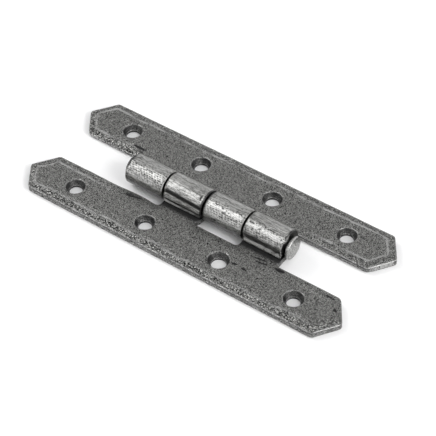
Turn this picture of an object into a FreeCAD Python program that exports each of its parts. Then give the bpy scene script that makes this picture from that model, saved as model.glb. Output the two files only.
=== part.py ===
"""H hinge: two pointed steel leaves whose tabs are rolled round one headed pin.

Millimetres. X runs along the pin, Y across the leaves, Z up.
The origin lies on the back plane of the open hinge, under the middle of the leaves.
Each leaf is drawn in its own frame on the +Y side; the front leaf is then turned end for end.
"""
import FreeCAD
import Part
import math
import os
import Sketcher

# Driving sizes, each with its own cell
SIZES = [
    ("leaf_length", 102.0, "tip to tip"),
    ("leaf_width", 14.1, "inner edge to outer edge"),
    ("tip_length", 4.85, "how far each end runs out to its point"),
    ("corner_radius", 1.3, "rounding of the outline's corners"),
    ("sheet_thickness", 2.2, "steel sheet, also the wall of each knuckle"),
    ("border_width", 2.2, "hammered slope round the top face"),
    ("border_drop", 0.3, "how much lower that slope ends at the edge"),
    ("edge_clearance", 1.94, "knuckle to the inner edge of a leaf"),
    ("root_radius", 1.2, "round inner corner on one side of each tab"),
    ("hole_diameter", 3.7, "screw hole"),
    ("countersink_diameter", 5.4, "screw hole at the top face"),
    ("countersink_angle", 82.0, "full cone angle"),
    ("hole_pitch", 23.76, "screw hole to screw hole"),
    ("front_hole_shift", 0.6, "front leaf's hole row, towards +X"),
    ("back_hole_shift", -0.1, "back leaf's hole row, towards +X"),
    ("pin_diameter", 4.0, "shank"),
    ("bore_clearance", 0.06, "radial running clearance on the shank"),
    ("knuckle_length", 12.45, "along the pin"),
    ("knuckle_gap", 0.5, "between neighbouring knuckles"),
    ("barrel_shift", 0.72, "middle of the barrel, towards +X"),
    ("seam_gap", 0.15, "rolled end to the top of its own tab"),
    ("rim_bevel", 0.4, "worn edge round the knuckles and the back of the leaf"),
    ("head_inset", 0.86, "head radius, less than the knuckle's by this"),
    ("head_sag", 0.5, "the hand-set head sits this much below the pin's axis"),
    ("head_side", 0.75, "straight side of the head"),
    ("head_crown", 0.4, "dome on the head"),
    ("head_gap", 0.3, "last knuckle to the underside of the head"),
    ("tail_inset", 1.0, "riveted tail's radius, less than the knuckle's by this"),
    ("tail_lift", 0.4, "the riveted tail sits this much above the pin's axis"),
    ("tail_side", 0.5, "straight side of the riveted tail"),
    ("tail_crown", 0.3, "dome on the riveted tail"),
]

# Places that follow from the driving sizes
PLACES = [
    ("pin_radius", "sizes.pin_diameter / 2"),
    ("bore_radius", "sizes.pin_diameter / 2 + sizes.bore_clearance"),
    ("knuckle_radius", "bore_radius + sizes.sheet_thickness"),
    ("inner_edge", "knuckle_radius + sizes.edge_clearance"),
    ("middle_line", "inner_edge + sizes.leaf_width / 2"),
    ("outer_edge", "inner_edge + sizes.leaf_width"),
    ("tab_end", "inner_edge + sizes.border_width"),
    ("edge_height", "sizes.sheet_thickness - sizes.border_drop"),
    ("half_length", "sizes.leaf_length / 2"),
    ("shoulder", "sizes.leaf_length / 2 - sizes.tip_length"),
    ("knuckle_pitch", "sizes.knuckle_length + sizes.knuckle_gap"),
    ("pair_pitch", "2 * knuckle_pitch"),
    ("barrel_length", "4 * sizes.knuckle_length + 3 * sizes.knuckle_gap"),
    ("barrel_start", "sizes.barrel_shift - barrel_length / 2"),
    ("barrel_end", "sizes.barrel_shift + barrel_length / 2"),
    ("front_start", "-barrel_end"),
    ("seam_height", "sizes.sheet_thickness + sizes.seam_gap"),
    ("hole_row_half", "1.5 * sizes.hole_pitch"),
    ("hole_row_length", "3 * sizes.hole_pitch"),
    ("front_first_hole", "-sizes.front_hole_shift - hole_row_half"),
    ("back_first_hole", "sizes.back_hole_shift - hole_row_half"),
    ("head_radius", "knuckle_radius - sizes.head_inset"),
    ("head_height", "knuckle_radius - sizes.head_sag"),
    ("head_start", "barrel_end + sizes.head_gap"),
    ("head_rim", "head_start + sizes.head_side"),
    ("head_top", "head_rim + sizes.head_crown"),
    ("tail_radius", "knuckle_radius - sizes.tail_inset"),
    ("tail_height", "knuckle_radius + sizes.tail_lift"),
    ("tail_rim", "barrel_start - sizes.tail_side"),
    ("tail_top", "tail_rim - sizes.tail_crown"),
]
HOLES_PER_LEAF = 4
KNUCKLES_PER_LEAF = 2
HALF_TURN = 180.0
FULL_TURN = 360.0

# Sketch references: the root point, the axis across the sketch, and the points of an edge
ROOT, ACROSS = -1, -1
START, END, CENTRE = range(1, 4)


def make_sizes(doc):
    """Put the driving sizes in one sheet as numbers, and the places that follow in another."""
    sizes = doc.addObject("Spreadsheet::Sheet", "sizes")
    for row, (alias, value, note) in enumerate(SIZES, start=1):
        sizes.set(f"A{row}", alias)
        sizes.set(f"B{row}", str(value))
        sizes.set(f"C{row}", note)
        sizes.setAlias(f"B{row}", alias)
    doc.recompute()
    places = doc.addObject("Spreadsheet::Sheet", "places")
    for row, (alias, formula) in enumerate(PLACES, start=1):
        places.set(f"A{row}", alias)
        places.set(f"B{row}", "=" + formula)
        places.setAlias(f"B{row}", alias)
        doc.recompute()
    values = {alias: float(sizes.get(alias)) for alias, _, _ in SIZES}
    values.update({alias: float(places.get(alias)) for alias, _ in PLACES})
    return values


def origin_feature(body, role):
    """Find one of a body's own origin planes or axes by its role."""
    for feature in body.Origin.OriginFeatures:
        if feature.Role == role:
            return feature
    raise RuntimeError(f"{body.Label} has no {role}")


def new_sketch(body, name, plane, offsets=()):
    """Start a sketch on one of the body's planes, moved by (direction, expression) offsets."""
    sketch = body.newObject("Sketcher::SketchObject", name)
    sketch.AttachmentSupport = [(origin_feature(body, plane), "")]
    sketch.MapMode = "FlatFace"
    for direction, expression in offsets:
        sketch.setExpression(f"AttachmentOffset.Base.{direction}", expression)
    body.Document.recompute()
    return sketch


def set_size(sketch, kind, references, expression, value):
    """Add one dimension and bind it to its cell."""
    index = sketch.addConstraint(Sketcher.Constraint(kind, *references, value))
    sketch.setExpression(f"Constraints[{index}]", expression)


def place_point(sketch, reference, x_size, y_size):
    """Hold a point at (expression, value, sign) distances from the sketch's root."""
    for kind, (expression, value, sign) in (("DistanceX", x_size), ("DistanceY", y_size)):
        ends = (ROOT, START) + reference if sign > 0 else reference + (ROOT, START)
        set_size(sketch, kind, ends, expression, value)


def vector(x, y):
    """A point in a sketch's own plane."""
    return FreeCAD.Vector(x, y, 0)


def rounded_outline(sketch, corners, radius):
    """Draw a closed outline through the corners, each rounded to the corner radius.

    A corner is ((expression, value, sign), (expression, value, sign)) for its x and y.
    The sharp corners stay as construction points, and every side passes through two of them.
    """
    points = [vector(x[1] * x[2], y[1] * y[2]) for x, y in corners]
    count = len(points)
    trims = []
    for i, point in enumerate(points):
        back = (points[i - 1] - point).normalize()
        ahead = (points[(i + 1) % count] - point).normalize()
        half = back.getAngle(ahead) / 2
        trim = radius / math.tan(half)
        bisector = (back + ahead).normalize()
        centre = point + bisector * (radius / math.sin(half))
        trims.append((point + back * trim, centre, point + ahead * trim))
    marks = []
    sides = []
    arcs = []
    for i, point in enumerate(points):
        marks.append(sketch.addGeometry(Part.Point(point), True))
        place_point(sketch, (marks[i], START), *corners[i])
    for i in range(count):
        following = (i + 1) % count
        sides.append(sketch.addGeometry(Part.LineSegment(trims[i][2], trims[following][0])))
    for i, (first, centre, last) in enumerate(trims):
        middle = centre + (points[i] - centre).normalize() * radius
        arc = Part.Arc(first, middle, last)
        arcs.append(sketch.addGeometry(arc))
    for i in range(count):
        following = (i + 1) % count
        sketch.addConstraint(Sketcher.Constraint("PointOnObject", marks[i], START, sides[i]))
        sketch.addConstraint(Sketcher.Constraint("PointOnObject", marks[following], START, sides[i]))
    for i in range(count):
        arc_start = sketch.Geometry[arcs[i]].StartPoint
        first_is_start = arc_start.distanceToPoint(trims[i][0]) < arc_start.distanceToPoint(trims[i][2])
        before, after = (START, END) if first_is_start else (END, START)
        sketch.addConstraint(Sketcher.Constraint("Tangent", sides[i - 1], END, arcs[i], before))
        sketch.addConstraint(Sketcher.Constraint("Tangent", sides[i], START, arcs[i], after))
        if i == 0:
            set_size(sketch, "Radius", (arcs[0],), "sizes.corner_radius", radius)
        else:
            sketch.addConstraint(Sketcher.Constraint("Equal", arcs[0], arcs[i]))


def leaf_corners(v, inset_expression, inset):
    """The six corners of a pointed leaf, drawn in by an inset all round."""
    slope = math.hypot(v["leaf_width"] / 2, v["tip_length"])
    tip_shift = inset * slope / (v["leaf_width"] / 2)
    tilt = (slope - v["tip_length"]) / (v["leaf_width"] / 2)
    slope_text = "sqrt((sizes.leaf_width / 2) ^ 2 + sizes.tip_length ^ 2)"
    tip_text = f"places.half_length - {inset_expression} * {slope_text} / (sizes.leaf_width / 2)"
    tilt_text = f"({slope_text} - sizes.tip_length) / (sizes.leaf_width / 2)"
    shoulder_text = f"places.shoulder - {inset_expression} * {tilt_text}"
    tip = v["half_length"] - tip_shift
    shoulder = v["shoulder"] - inset * tilt
    inner = (f"places.inner_edge + {inset_expression}", v["inner_edge"] + inset, 1)
    middle = ("places.middle_line", v["middle_line"], 1)
    outer = (f"places.outer_edge - {inset_expression}", v["outer_edge"] - inset, 1)
    return [
        ((shoulder_text, shoulder, -1), inner),
        ((shoulder_text, shoulder, 1), inner),
        ((tip_text, tip, 1), middle),
        ((shoulder_text, shoulder, 1), outer),
        ((shoulder_text, shoulder, -1), outer),
        ((tip_text, tip, -1), middle),
    ]


def add_plate(body, v):
    """The flat leaf: a full plate up to its edge height, then the hammered slope round it."""
    outline = new_sketch(body, body.Name + "_outline", "XY_Plane")
    rounded_outline(outline, leaf_corners(v, "0", 0.0), v["corner_radius"])
    plate = body.newObject("PartDesign::Pad", body.Name + "_plate")
    plate.Profile = outline
    plate.setExpression("Length", "places.edge_height")
    edge_at = [("z", "places.edge_height")]
    rim = new_sketch(body, body.Name + "_slope_foot", "XY_Plane", edge_at)
    rounded_outline(rim, leaf_corners(v, "0", 0.0), v["corner_radius"])
    top_at = [("z", "sizes.sheet_thickness")]
    field = new_sketch(body, body.Name + "_slope_top", "XY_Plane", top_at)
    rounded_outline(field, leaf_corners(v, "sizes.border_width", v["border_width"]), v["corner_radius"])
    slope = body.newObject("PartDesign::AdditiveLoft", body.Name + "_slope")
    slope.Profile = rim
    slope.Sections = [field]
    slope.Ruled = True
    body.Document.recompute()


def add_knuckles(body, v, start):
    """Two tabs that run flat under the pin, up the far side and back over it to a cut end."""
    doc = body.Document
    radius = v["knuckle_radius"]
    bore = v["bore_radius"]
    sheet = v["sheet_thickness"]
    tab_end = v["tab_end"]
    cut = math.asin((v["seam_height"] - radius) / radius)
    centre = vector(0, radius)
    radial = vector(math.cos(cut), math.sin(cut))
    at_start = [("z", f"places.{start}")]
    hook = new_sketch(body, body.Name + "_hook", "YZ_Plane", at_start)
    foot = hook.addGeometry(Part.LineSegment(vector(tab_end, 0), vector(0, 0)))
    far = math.radians(270)
    normal = FreeCAD.Vector(0, 0, 1)
    outside = hook.addGeometry(Part.ArcOfCircle(Part.Circle(centre, normal, radius), cut, far))
    end_cut = hook.addGeometry(Part.LineSegment(centre + radial * radius, centre + radial * bore))
    inside = hook.addGeometry(Part.ArcOfCircle(Part.Circle(centre, normal, bore), cut, far))
    top = hook.addGeometry(Part.LineSegment(vector(0, sheet), vector(tab_end, sheet)))
    close = hook.addGeometry(Part.LineSegment(vector(tab_end, sheet), vector(tab_end, 0)))
    rules = [
        ("Coincident", foot, END, ROOT, START),
        ("Horizontal", foot),
        ("Tangent", foot, END, outside, END),
        ("Coincident", outside, START, end_cut, START),
        ("Coincident", end_cut, END, inside, START),
        ("Coincident", outside, CENTRE, inside, CENTRE),
        ("PointOnObject", outside, CENTRE, end_cut),
        ("Tangent", top, START, inside, END),
        ("Coincident", top, END, close, START),
        ("Coincident", close, END, foot, START),
        ("Vertical", close),
    ]
    for rule in rules:
        hook.addConstraint(Sketcher.Constraint(*rule))
    set_size(hook, "Radius", (outside,), "places.knuckle_radius", radius)
    set_size(hook, "Radius", (inside,), "places.bore_radius", bore)
    set_size(hook, "DistanceX", (ROOT, START, close, END), "places.tab_end", tab_end)
    set_size(hook, "DistanceY", (ROOT, START, outside, START), "places.seam_height", v["seam_height"])
    roll = body.newObject("PartDesign::Pad", body.Name + "_roll")
    roll.Profile = hook
    roll.setExpression("Length", "sizes.knuckle_length")
    doc.recompute()
    roots = add_roots(body, v, start)
    pattern = body.newObject("PartDesign::LinearPattern", body.Name + "_pair")
    pattern.Originals = [roll, roots]
    pattern.Direction = (origin_feature(body, "X_Axis"), [""])
    pattern.setExpression("Length", "places.pair_pitch")
    pattern.Occurrences = KNUCKLES_PER_LEAF
    body.Tip = pattern
    doc.recompute()
    rims = body.newObject("PartDesign::Chamfer", body.Name + "_rims")
    rims.Base = (pattern, rim_edges(pattern.Shape, radius))
    rims.setExpression("Size", "sizes.rim_bevel")
    body.Tip = rims
    doc.recompute()


def rim_edges(shape, radius):
    """Names of the outer round edges at both ends of a knuckle."""
    names = []
    for index, edge in enumerate(shape.Edges, start=1):
        curve = edge.Curve
        if curve.TypeId == "Part::GeomCircle" and abs(curve.Radius - radius) < 1e-6:
            names.append(f"Edge{index}")
    return names


def add_roots(body, v, start):
    """The round inner corner that the blanking tool leaves on one side of each tab."""
    radius = v["root_radius"]
    edge = v["inner_edge"]
    side = v[start] + v["knuckle_length"]
    inside = edge + v["border_width"] / 2
    roots = new_sketch(body, body.Name + "_root_corner", "XY_Plane")
    normal = FreeCAD.Vector(0, 0, 1)
    corner = Part.Circle(vector(side + radius, edge - radius), normal, radius)
    p = [
        vector(side - radius, inside),
        vector(side - radius, edge - radius),
        vector(side, edge - radius),
        vector(side + radius, edge),
        vector(side + radius, inside),
    ]
    in_tab = roots.addGeometry(Part.LineSegment(p[0], p[1]))
    foot = roots.addGeometry(Part.LineSegment(p[1], p[2]))
    curve = roots.addGeometry(Part.ArcOfCircle(corner, math.pi / 2, math.pi))
    outer = roots.addGeometry(Part.LineSegment(p[3], p[4]))
    in_leaf = roots.addGeometry(Part.LineSegment(p[4], p[0]))
    rules = [
        ("Coincident", in_tab, END, foot, START),
        ("Coincident", foot, END, curve, END),
        ("Coincident", curve, START, outer, START),
        ("Coincident", outer, END, in_leaf, START),
        ("Coincident", in_leaf, END, in_tab, START),
        ("Vertical", in_tab),
        ("Horizontal", foot),
        ("Vertical", outer),
        ("Horizontal", in_leaf),
        ("Horizontal", curve, CENTRE, curve, END),
        ("Vertical", curve, CENTRE, curve, START),
    ]
    for rule in rules:
        roots.addConstraint(Sketcher.Constraint(*rule))
    set_size(roots, "Radius", (curve,), "sizes.root_radius", radius)
    set_size(roots, "DistanceX", (foot, START, foot, END), "sizes.root_radius", radius)
    # The start of a knuckle row lies on the far side of the root point, so both lengths are positive
    place_point(
        roots,
        (curve, END),
        (f"-(places.{start} + sizes.knuckle_length)", -side, -1),
        ("places.inner_edge - sizes.root_radius", edge - radius, 1),
    )
    set_size(roots, "DistanceY", (outer, START, outer, END), "sizes.border_width / 2", inside - edge)
    pad = body.newObject("PartDesign::Pad", body.Name + "_tab_roots")
    pad.Profile = roots
    pad.setExpression("Length", "places.edge_height")
    body.Document.recompute()
    return pad


def add_screw_holes(body, v, first_hole):
    """A row of countersunk screw holes along the middle of the leaf."""
    doc = body.Document
    before = body.Shape.Volume
    top_at = [("z", "sizes.sheet_thickness")]
    spot = new_sketch(body, body.Name + "_first_hole", "XY_Plane", top_at)
    centre = vector(v[first_hole], v["middle_line"])
    radius = v["hole_diameter"] / 2
    circle = spot.addGeometry(Part.Circle(centre, FreeCAD.Vector(0, 0, 1), radius))
    set_size(spot, "Radius", (circle,), "sizes.hole_diameter / 2", radius)
    place_point(
        spot,
        (circle, CENTRE),
        (f"-places.{first_hole}", -v[first_hole], -1),
        ("places.middle_line", v["middle_line"], 1),
    )
    doc.recompute()
    hole = body.newObject("PartDesign::Hole", body.Name + "_screw_hole")
    hole.Profile = spot
    doc.recompute()
    hole.DepthType = "ThroughAll"
    hole.HoleCutType = "Countersink"
    hole.HoleCutCustomValues = True
    hole.setExpression("Diameter", "sizes.hole_diameter")
    hole.setExpression("HoleCutDiameter", "sizes.countersink_diameter")
    hole.setExpression("HoleCutCountersinkAngle", "sizes.countersink_angle")
    doc.recompute()
    row = body.newObject("PartDesign::LinearPattern", body.Name + "_hole_row")
    row.Originals = [hole]
    row.Direction = (origin_feature(body, "X_Axis"), [""])
    row.setExpression("Length", "places.hole_row_length")
    row.Occurrences = HOLES_PER_LEAF
    body.Tip = row
    doc.recompute()
    straight = math.pi * radius ** 2 * v["edge_height"] * HOLES_PER_LEAF
    if before - body.Shape.Volume < straight:
        raise RuntimeError(f"{body.Label}: the screw holes are not cut")


def make_leaf(doc, name, v, start, first_hole, turn):
    """One leaf with its two rolled knuckles, turned about the vertical into its place."""
    body = doc.addObject("PartDesign::Body", name)
    body.Label = name
    doc.recompute()
    add_plate(body, v)
    add_knuckles(body, v, start)
    add_screw_holes(body, v, first_hole)
    body.Placement = FreeCAD.Placement(
        FreeCAD.Vector(0, 0, 0), FreeCAD.Rotation(FreeCAD.Vector(0, 0, 1), turn)
    )
    doc.recompute()
    return body


def add_button(body, name, height, names, v):
    """A round rivet head on the pin: a short straight side and a domed face.

    The names are the places of its flat side, its rim and its crown along X, and its radius.
    """
    flat, rim, crown, size = names
    up = [("y", f"places.{height}")]
    sketch = new_sketch(body, name + "_profile", "XZ_Plane", up)
    radius = v[size]
    rise = abs(v[crown] - v[rim])
    dome = (radius ** 2 + rise ** 2) / (2 * rise)
    away = 1 if v[crown] > v[rim] else -1
    middle = vector(v[crown] - away * dome, 0)
    lean = math.asin(radius / dome)
    side_angle, crown_angle = (lean, 0.0) if away > 0 else (math.pi - lean, math.pi)
    corners = [vector(v[flat], 0), vector(v[flat], radius), vector(v[rim], radius), vector(v[crown], 0)]
    seat = sketch.addGeometry(Part.LineSegment(corners[0], corners[1]))
    side = sketch.addGeometry(Part.LineSegment(corners[1], corners[2]))
    circle = Part.Circle(middle, FreeCAD.Vector(0, 0, 1), dome)
    low, high = sorted((side_angle, crown_angle))
    face = sketch.addGeometry(Part.ArcOfCircle(circle, low, high))
    core = sketch.addGeometry(Part.LineSegment(corners[3], corners[0]))
    at_rim, at_crown = (END, START) if away > 0 else (START, END)
    rules = [
        ("Coincident", seat, END, side, START),
        ("Coincident", side, END, face, at_rim),
        ("Coincident", face, at_crown, core, START),
        ("Coincident", core, END, seat, START),
        ("PointOnObject", seat, START, ACROSS),
        ("PointOnObject", core, START, ACROSS),
        ("PointOnObject", face, CENTRE, ACROSS),
        ("Vertical", seat),
        ("Horizontal", side),
    ]
    for rule in rules:
        sketch.addConstraint(Sketcher.Constraint(*rule))
    for place, reference in ((flat, (seat, START)), (rim, (side, END)), (crown, (core, START))):
        if away > 0:
            set_size(sketch, "DistanceX", (ROOT, START) + reference, f"places.{place}", v[place])
        else:
            set_size(sketch, "DistanceX", reference + (ROOT, START), f"-places.{place}", -v[place])
    set_size(sketch, "DistanceY", (seat, START, seat, END), f"places.{size}", radius)
    button = body.newObject("PartDesign::Revolution", name)
    button.Profile = sketch
    button.ReferenceAxis = (sketch, ["H_Axis"])
    button.Angle = FULL_TURN
    body.Document.recompute()


def make_pin(doc, v):
    """The pin: a plain shank, a hand-set head at one end and a riveted tail at the other."""
    body = doc.addObject("PartDesign::Body", "hinge_pin")
    body.Label = "hinge_pin"
    doc.recompute()
    along = [("z", "places.barrel_start"), ("y", "places.knuckle_radius")]
    section = new_sketch(body, "shank_section", "YZ_Plane", along)
    ring = Part.Circle(vector(0, 0), FreeCAD.Vector(0, 0, 1), v["pin_radius"])
    circle = section.addGeometry(ring)
    section.addConstraint(Sketcher.Constraint("Coincident", circle, CENTRE, ROOT, START))
    set_size(section, "Radius", (circle,), "places.pin_radius", v["pin_radius"])
    shank = body.newObject("PartDesign::Pad", "shank")
    shank.Profile = section
    shank.setExpression("Length", "places.head_start - places.barrel_start")
    doc.recompute()
    add_button(body, "head", "head_height", ("head_start", "head_rim", "head_top", "head_radius"), v)
    tail = ("barrel_start", "tail_rim", "tail_top", "tail_radius")
    add_button(body, "riveted_tail", "tail_height", tail, v)
    doc.recompute()
    return body


def check_document(doc, bodies):
    """Stop if any object failed, or if a body has no valid shape."""
    for item in doc.Objects:
        if "Invalid" in item.State or "Error" in item.State:
            raise RuntimeError(f"{item.Name} did not build: {item.State}")
    for body in bodies:
        shape = body.Shape
        if shape.isNull() or not shape.isValid():
            raise RuntimeError(f"{body.Label} has no valid shape")
        if len(shape.Solids) != 1:
            raise RuntimeError(f"{body.Label} is {len(shape.Solids)} solids")


def main():
    """Build the three pieces, check them and write one file each."""
    doc = FreeCAD.newDocument("h_hinge")
    v = make_sizes(doc)
    bodies = [
        make_leaf(doc, "back_leaf", v, "barrel_start", "back_first_hole", 0.0),
        make_leaf(doc, "front_leaf", v, "front_start", "front_first_hole", HALF_TURN),
        make_pin(doc, v),
    ]
    doc.recompute()
    check_document(doc, bodies)
    os.makedirs("parts", exist_ok=True)
    for body in bodies:
        box = body.Shape.BoundBox
        low = f"{box.XMin:.2f} {box.YMin:.2f} {box.ZMin:.2f}"
        high = f"{box.XMax:.2f} {box.YMax:.2f} {box.ZMax:.2f}"
        print(f"{body.Label}: {body.Shape.Volume:.1f} mm3, from {low} to {high}")
        body.Shape.exportStep(f"parts/{body.Label}.step")


main()
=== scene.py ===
"""H hinge: two forged steel leaves and a headed pin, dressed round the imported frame.

Each leaf is worked as its maker would work it: a flat pointed blank with a hammered border and
countersunk screw holes, whose two tabs are then rolled round the pin's axis.
Sizes are millimetres until a mesh is written, which is in metres.
X runs along the pin, Y across the leaves and Z up, with the origin on the floor.
"""
import logging
import math
from dataclasses import dataclass, field, replace
from enum import Enum
from typing import Callable, Optional, Sequence

import bpy
import numpy as np
from mathutils import Matrix, Vector
from mathutils.geometry import delaunay_2d_cdt


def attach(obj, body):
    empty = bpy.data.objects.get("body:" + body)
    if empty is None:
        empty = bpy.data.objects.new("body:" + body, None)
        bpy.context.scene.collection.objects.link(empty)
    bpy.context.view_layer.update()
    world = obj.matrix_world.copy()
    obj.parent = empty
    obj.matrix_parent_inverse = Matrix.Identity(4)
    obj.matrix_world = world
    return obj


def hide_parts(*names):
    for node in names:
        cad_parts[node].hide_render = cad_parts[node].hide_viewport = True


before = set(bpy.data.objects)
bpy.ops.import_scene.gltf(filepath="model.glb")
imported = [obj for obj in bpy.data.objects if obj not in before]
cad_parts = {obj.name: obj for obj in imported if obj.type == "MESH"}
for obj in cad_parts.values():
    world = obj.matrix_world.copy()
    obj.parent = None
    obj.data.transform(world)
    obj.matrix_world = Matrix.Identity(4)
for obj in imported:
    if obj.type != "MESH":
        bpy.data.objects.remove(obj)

LOG = logging.getLogger("h_hinge")
MM = 0.001
# Width of the picture in pixels, and of the camera's sensor.
PHOTO_WIDTH = 436
SENSOR = 36.0
# Height of the pin's axis, which is also the knuckles' radius.
AXIS_HEIGHT = 4.26
# From one screw hole to the next.
HOLE_PITCH = 23.76
# Rows of points on a rounded edge.
ARRIS_ROWS = 5
# Points that are nearer to each other than this are one point.
SAME_PLACE = 1e-5

Pair = tuple[float, float]
Spot = tuple[float, float, float, float]
Box = tuple[float, float, float, float]
Colour = tuple[float, float, float, float]


class Mask(Enum):
    """Values kept on a mesh's points for its finish to read, from 0 to 1.

    RUB is how bright the metal is rubbed, HAMMER how hammered it looks, and the darkness mask how
    dark the finish is painted: grime in hollows, and painted shade under and between the parts.
    BARREL marks rolled metal, and RAW marks rolled metal without its burnished skin.
    """

    RUB = "rub"
    # How dark the finish is painted, by grime and by painted shade.
    HAMMER = "hammer"
    SOOT = "soot"
    BARREL = "barrel"
    RAW = "raw"


class LampUse(Enum):
    """What a lamp lights: everything, only what mirrors it, or only what is matt."""

    ALL = "all"
    HIGHLIGHT = "highlight"
    FLOOR = "floor"


class Side(Enum):
    """Which side of the pin a leaf lies on, as the turn about Z that takes it there."""

    BACK = 0.0
    FRONT = 180.0


def smooth_step(low: float, high: float, value: np.ndarray) -> np.ndarray:
    """Rise smoothly from 0 to 1.

    Args:
        low: Value that gives 0.
        high: Value that gives 1.
        value: Where to read the curve.

    Returns:
        The curve's height at each value.
    """
    t = np.clip((value - low) / (high - low), 0.0, 1.0)
    return t * t * (3.0 - 2.0 * t)


def smooth_fall(low: float, high: float, value: np.ndarray) -> np.ndarray:
    """The same curve turned over, from 1 down to 0."""
    return 1.0 - smooth_step(low, high, value)


def between(first: float, last: float, share: np.ndarray) -> np.ndarray:
    """The value that lies a share of the way from the first to the last."""
    return first + (last - first) * share


def bell(value: np.ndarray, width: float) -> np.ndarray:
    """A smooth bump of height 1 at zero.

    Args:
        value: Distance from the bump's middle.
        width: Distance at which the bump has mostly gone.

    Returns:
        The bump's height at each value.
    """
    return np.exp(-((value / width) ** 2))


@dataclass(frozen=True)
class Layer:
    """One layer of noise.

    Attributes:
        size: Millimetres from one random value to the next.
        amount: How much of it there is.
        x: How far its pattern is shifted along the leaf.
        y: How far it is shifted across the leaf.
        stretch: How much longer the pattern is along x.
    """

    size: float
    amount: float = 1.0
    x: float = 0.0
    y: float = 0.0
    stretch: float = 1.0


@dataclass(frozen=True)
class Ripple:
    """Seeded smooth noise over a plane.

    Attributes:
        seed: Which pattern.
        table: How many random values each side of the repeating table holds.
        shift: How far the table's corner lies from the leaf's middle, in random values.
    """

    seed: int
    table: int = 128
    shift: Pair = (57.3, 31.7)

    def at(self, x: np.ndarray, y: np.ndarray, size: float, stretch: float = 1.0) -> np.ndarray:
        """Read the noise.

        Args:
            x: First coordinate.
            y: Second coordinate.
            size: Millimetres from one random value to the next.
            stretch: How much longer the pattern is along x.

        Returns:
            Values between -1 and 1.
        """
        rng = np.random.default_rng(self.seed)
        values = rng.uniform(-1.0, 1.0, (self.table, self.table))
        u = np.asarray(x, float) / (size * stretch) + self.shift[0]
        v = np.asarray(y, float) / size + self.shift[1]
        column = np.floor(u).astype(int)
        row = np.floor(v).astype(int)
        a = self.ease(u - column)
        b = self.ease(v - row)
        left, right = column % self.table, (column + 1) % self.table
        low, high = row % self.table, (row + 1) % self.table
        lower = values[low, left] * (1.0 - a) + values[low, right] * a
        upper = values[high, left] * (1.0 - a) + values[high, right] * a
        return lower * (1.0 - b) + upper * b

    @staticmethod
    def ease(share: np.ndarray) -> np.ndarray:
        """The curve from 0 to 1 that starts and ends without slope or bend."""
        return share * share * share * (share * (share * 6.0 - 15.0) + 10.0)

    def layered(self, x: np.ndarray, y: np.ndarray, layers: Sequence[Layer]) -> np.ndarray:
        """Add up layers of the noise.

        Args:
            x: First coordinate.
            y: Second coordinate.
            layers: The layers.

        Returns:
            Their sum at each point.
        """
        return sum(
            layer.amount * self.at(x + layer.x, y + layer.y, layer.size, layer.stretch)
            for layer in layers
        )


@dataclass(frozen=True)
class Dent:
    """One struck or worn hollow, longer than it is wide.

    Attributes:
        x: Middle, along the leaf.
        y: Middle, across the leaf.
        length: End to end.
        width: Side to side.
        turn: Degrees from the leaf's length to the dent's.
        depth: At the middle.
        soot: How dark it is painted, 0 to 1: grime in the hollow and painted shade.
        steepness: Of its sides; 1 gives a plain bowl.
    """

    x: float
    y: float
    length: float
    width: float
    turn: float
    depth: float
    soot: float
    steepness: float = 1.2

    def shape(self, x: np.ndarray, y: np.ndarray) -> np.ndarray:
        """How much of the dent's depth is reached at each point.

        Args:
            x: Points, along the leaf.
            y: Points, across the leaf.

        Returns:
            Values from 0 outside the dent to 1 at its middle.
        """
        angle = math.radians(self.turn)
        along = (x - self.x) * math.cos(angle) + (y - self.y) * math.sin(angle)
        across = (y - self.y) * math.cos(angle) - (x - self.x) * math.sin(angle)
        reach = (2.0 * along / self.length) ** 2 + (2.0 * across / self.width) ** 2
        return np.clip(1.0 - reach, 0.0, 1.0) ** self.steepness


@dataclass(frozen=True)
class ScrewHole:
    """A countersunk screw hole.

    Attributes:
        x: Middle, along the leaf in its own frame.
        y: Middle, across the leaf.
        rim: Radius at the top face.
        bore: Radius of the straight part.
        angle: Full angle of the cone, in degrees.
        steps: Points round it.
    """

    x: float
    y: float
    rim: float = 2.7
    bore: float = 1.85
    angle: float = 82.0
    steps: int = 64

    def ring(self, radius: float, wobble: float, seed: int) -> np.ndarray:
        """One ring of points.

        Args:
            radius: Radius of the ring.
            wobble: How far it strays from round.
            seed: Which way it strays.

        Returns:
            An array of x and y, one row a point, anticlockwise from above.
        """
        turn = np.linspace(0.0, 2.0 * math.pi, self.steps, endpoint=False)
        stray = Ripple(seed).at(np.cos(turn) * 2.0, np.sin(turn) * 2.0, 1.6)
        reach = radius + wobble * stray
        return np.stack([self.x + reach * np.cos(turn), self.y + reach * np.sin(turn)], axis=1)

    def profile(self, thickness: float) -> list[tuple[float, float, float, float]]:
        """Radius, depth, rub and darkness of each ring, from the rim down to the back.

        Args:
            thickness: Of the leaf at the hole.

        Returns:
            One (radius, depth below the top face, rub, darkness) for each ring.
        """
        cone = (self.rim - self.bore) / math.tan(math.radians(self.angle / 2.0))
        # The last value is painted shade, which darkens the cone and the bore.
        return [
            (self.rim + 0.36, 0.0, 0.15, 0.0),
            (self.rim + 0.22, 0.005, 0.62, 0.0),
            (self.rim + 0.10, 0.03, 0.55, 0.1),
            (self.rim - 0.01, 0.11, 0.10, 0.7),
            (self.rim * 0.8 + self.bore * 0.2, cone * 0.22, 0.0, 0.85),
            (self.rim * 0.5 + self.bore * 0.5, cone * 0.53, 0.0, 0.7),
            (self.bore + 0.16, cone * 0.86, 0.10, 0.6),
            (self.bore + 0.04, cone * 0.98, 0.75, 0.0),
            (self.bore, cone + 0.10, 0.45, 0.3),
            (self.bore - 0.015, cone + 0.25, 0.0, 1.0),
            (self.bore - 0.01, (cone + thickness) / 2.0 + 0.1, 0.0, 1.0),
            (self.bore, thickness - 0.10, 0.0, 1.0),
            (self.bore + 0.10, thickness, 0.0, 1.0),
        ]


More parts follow.
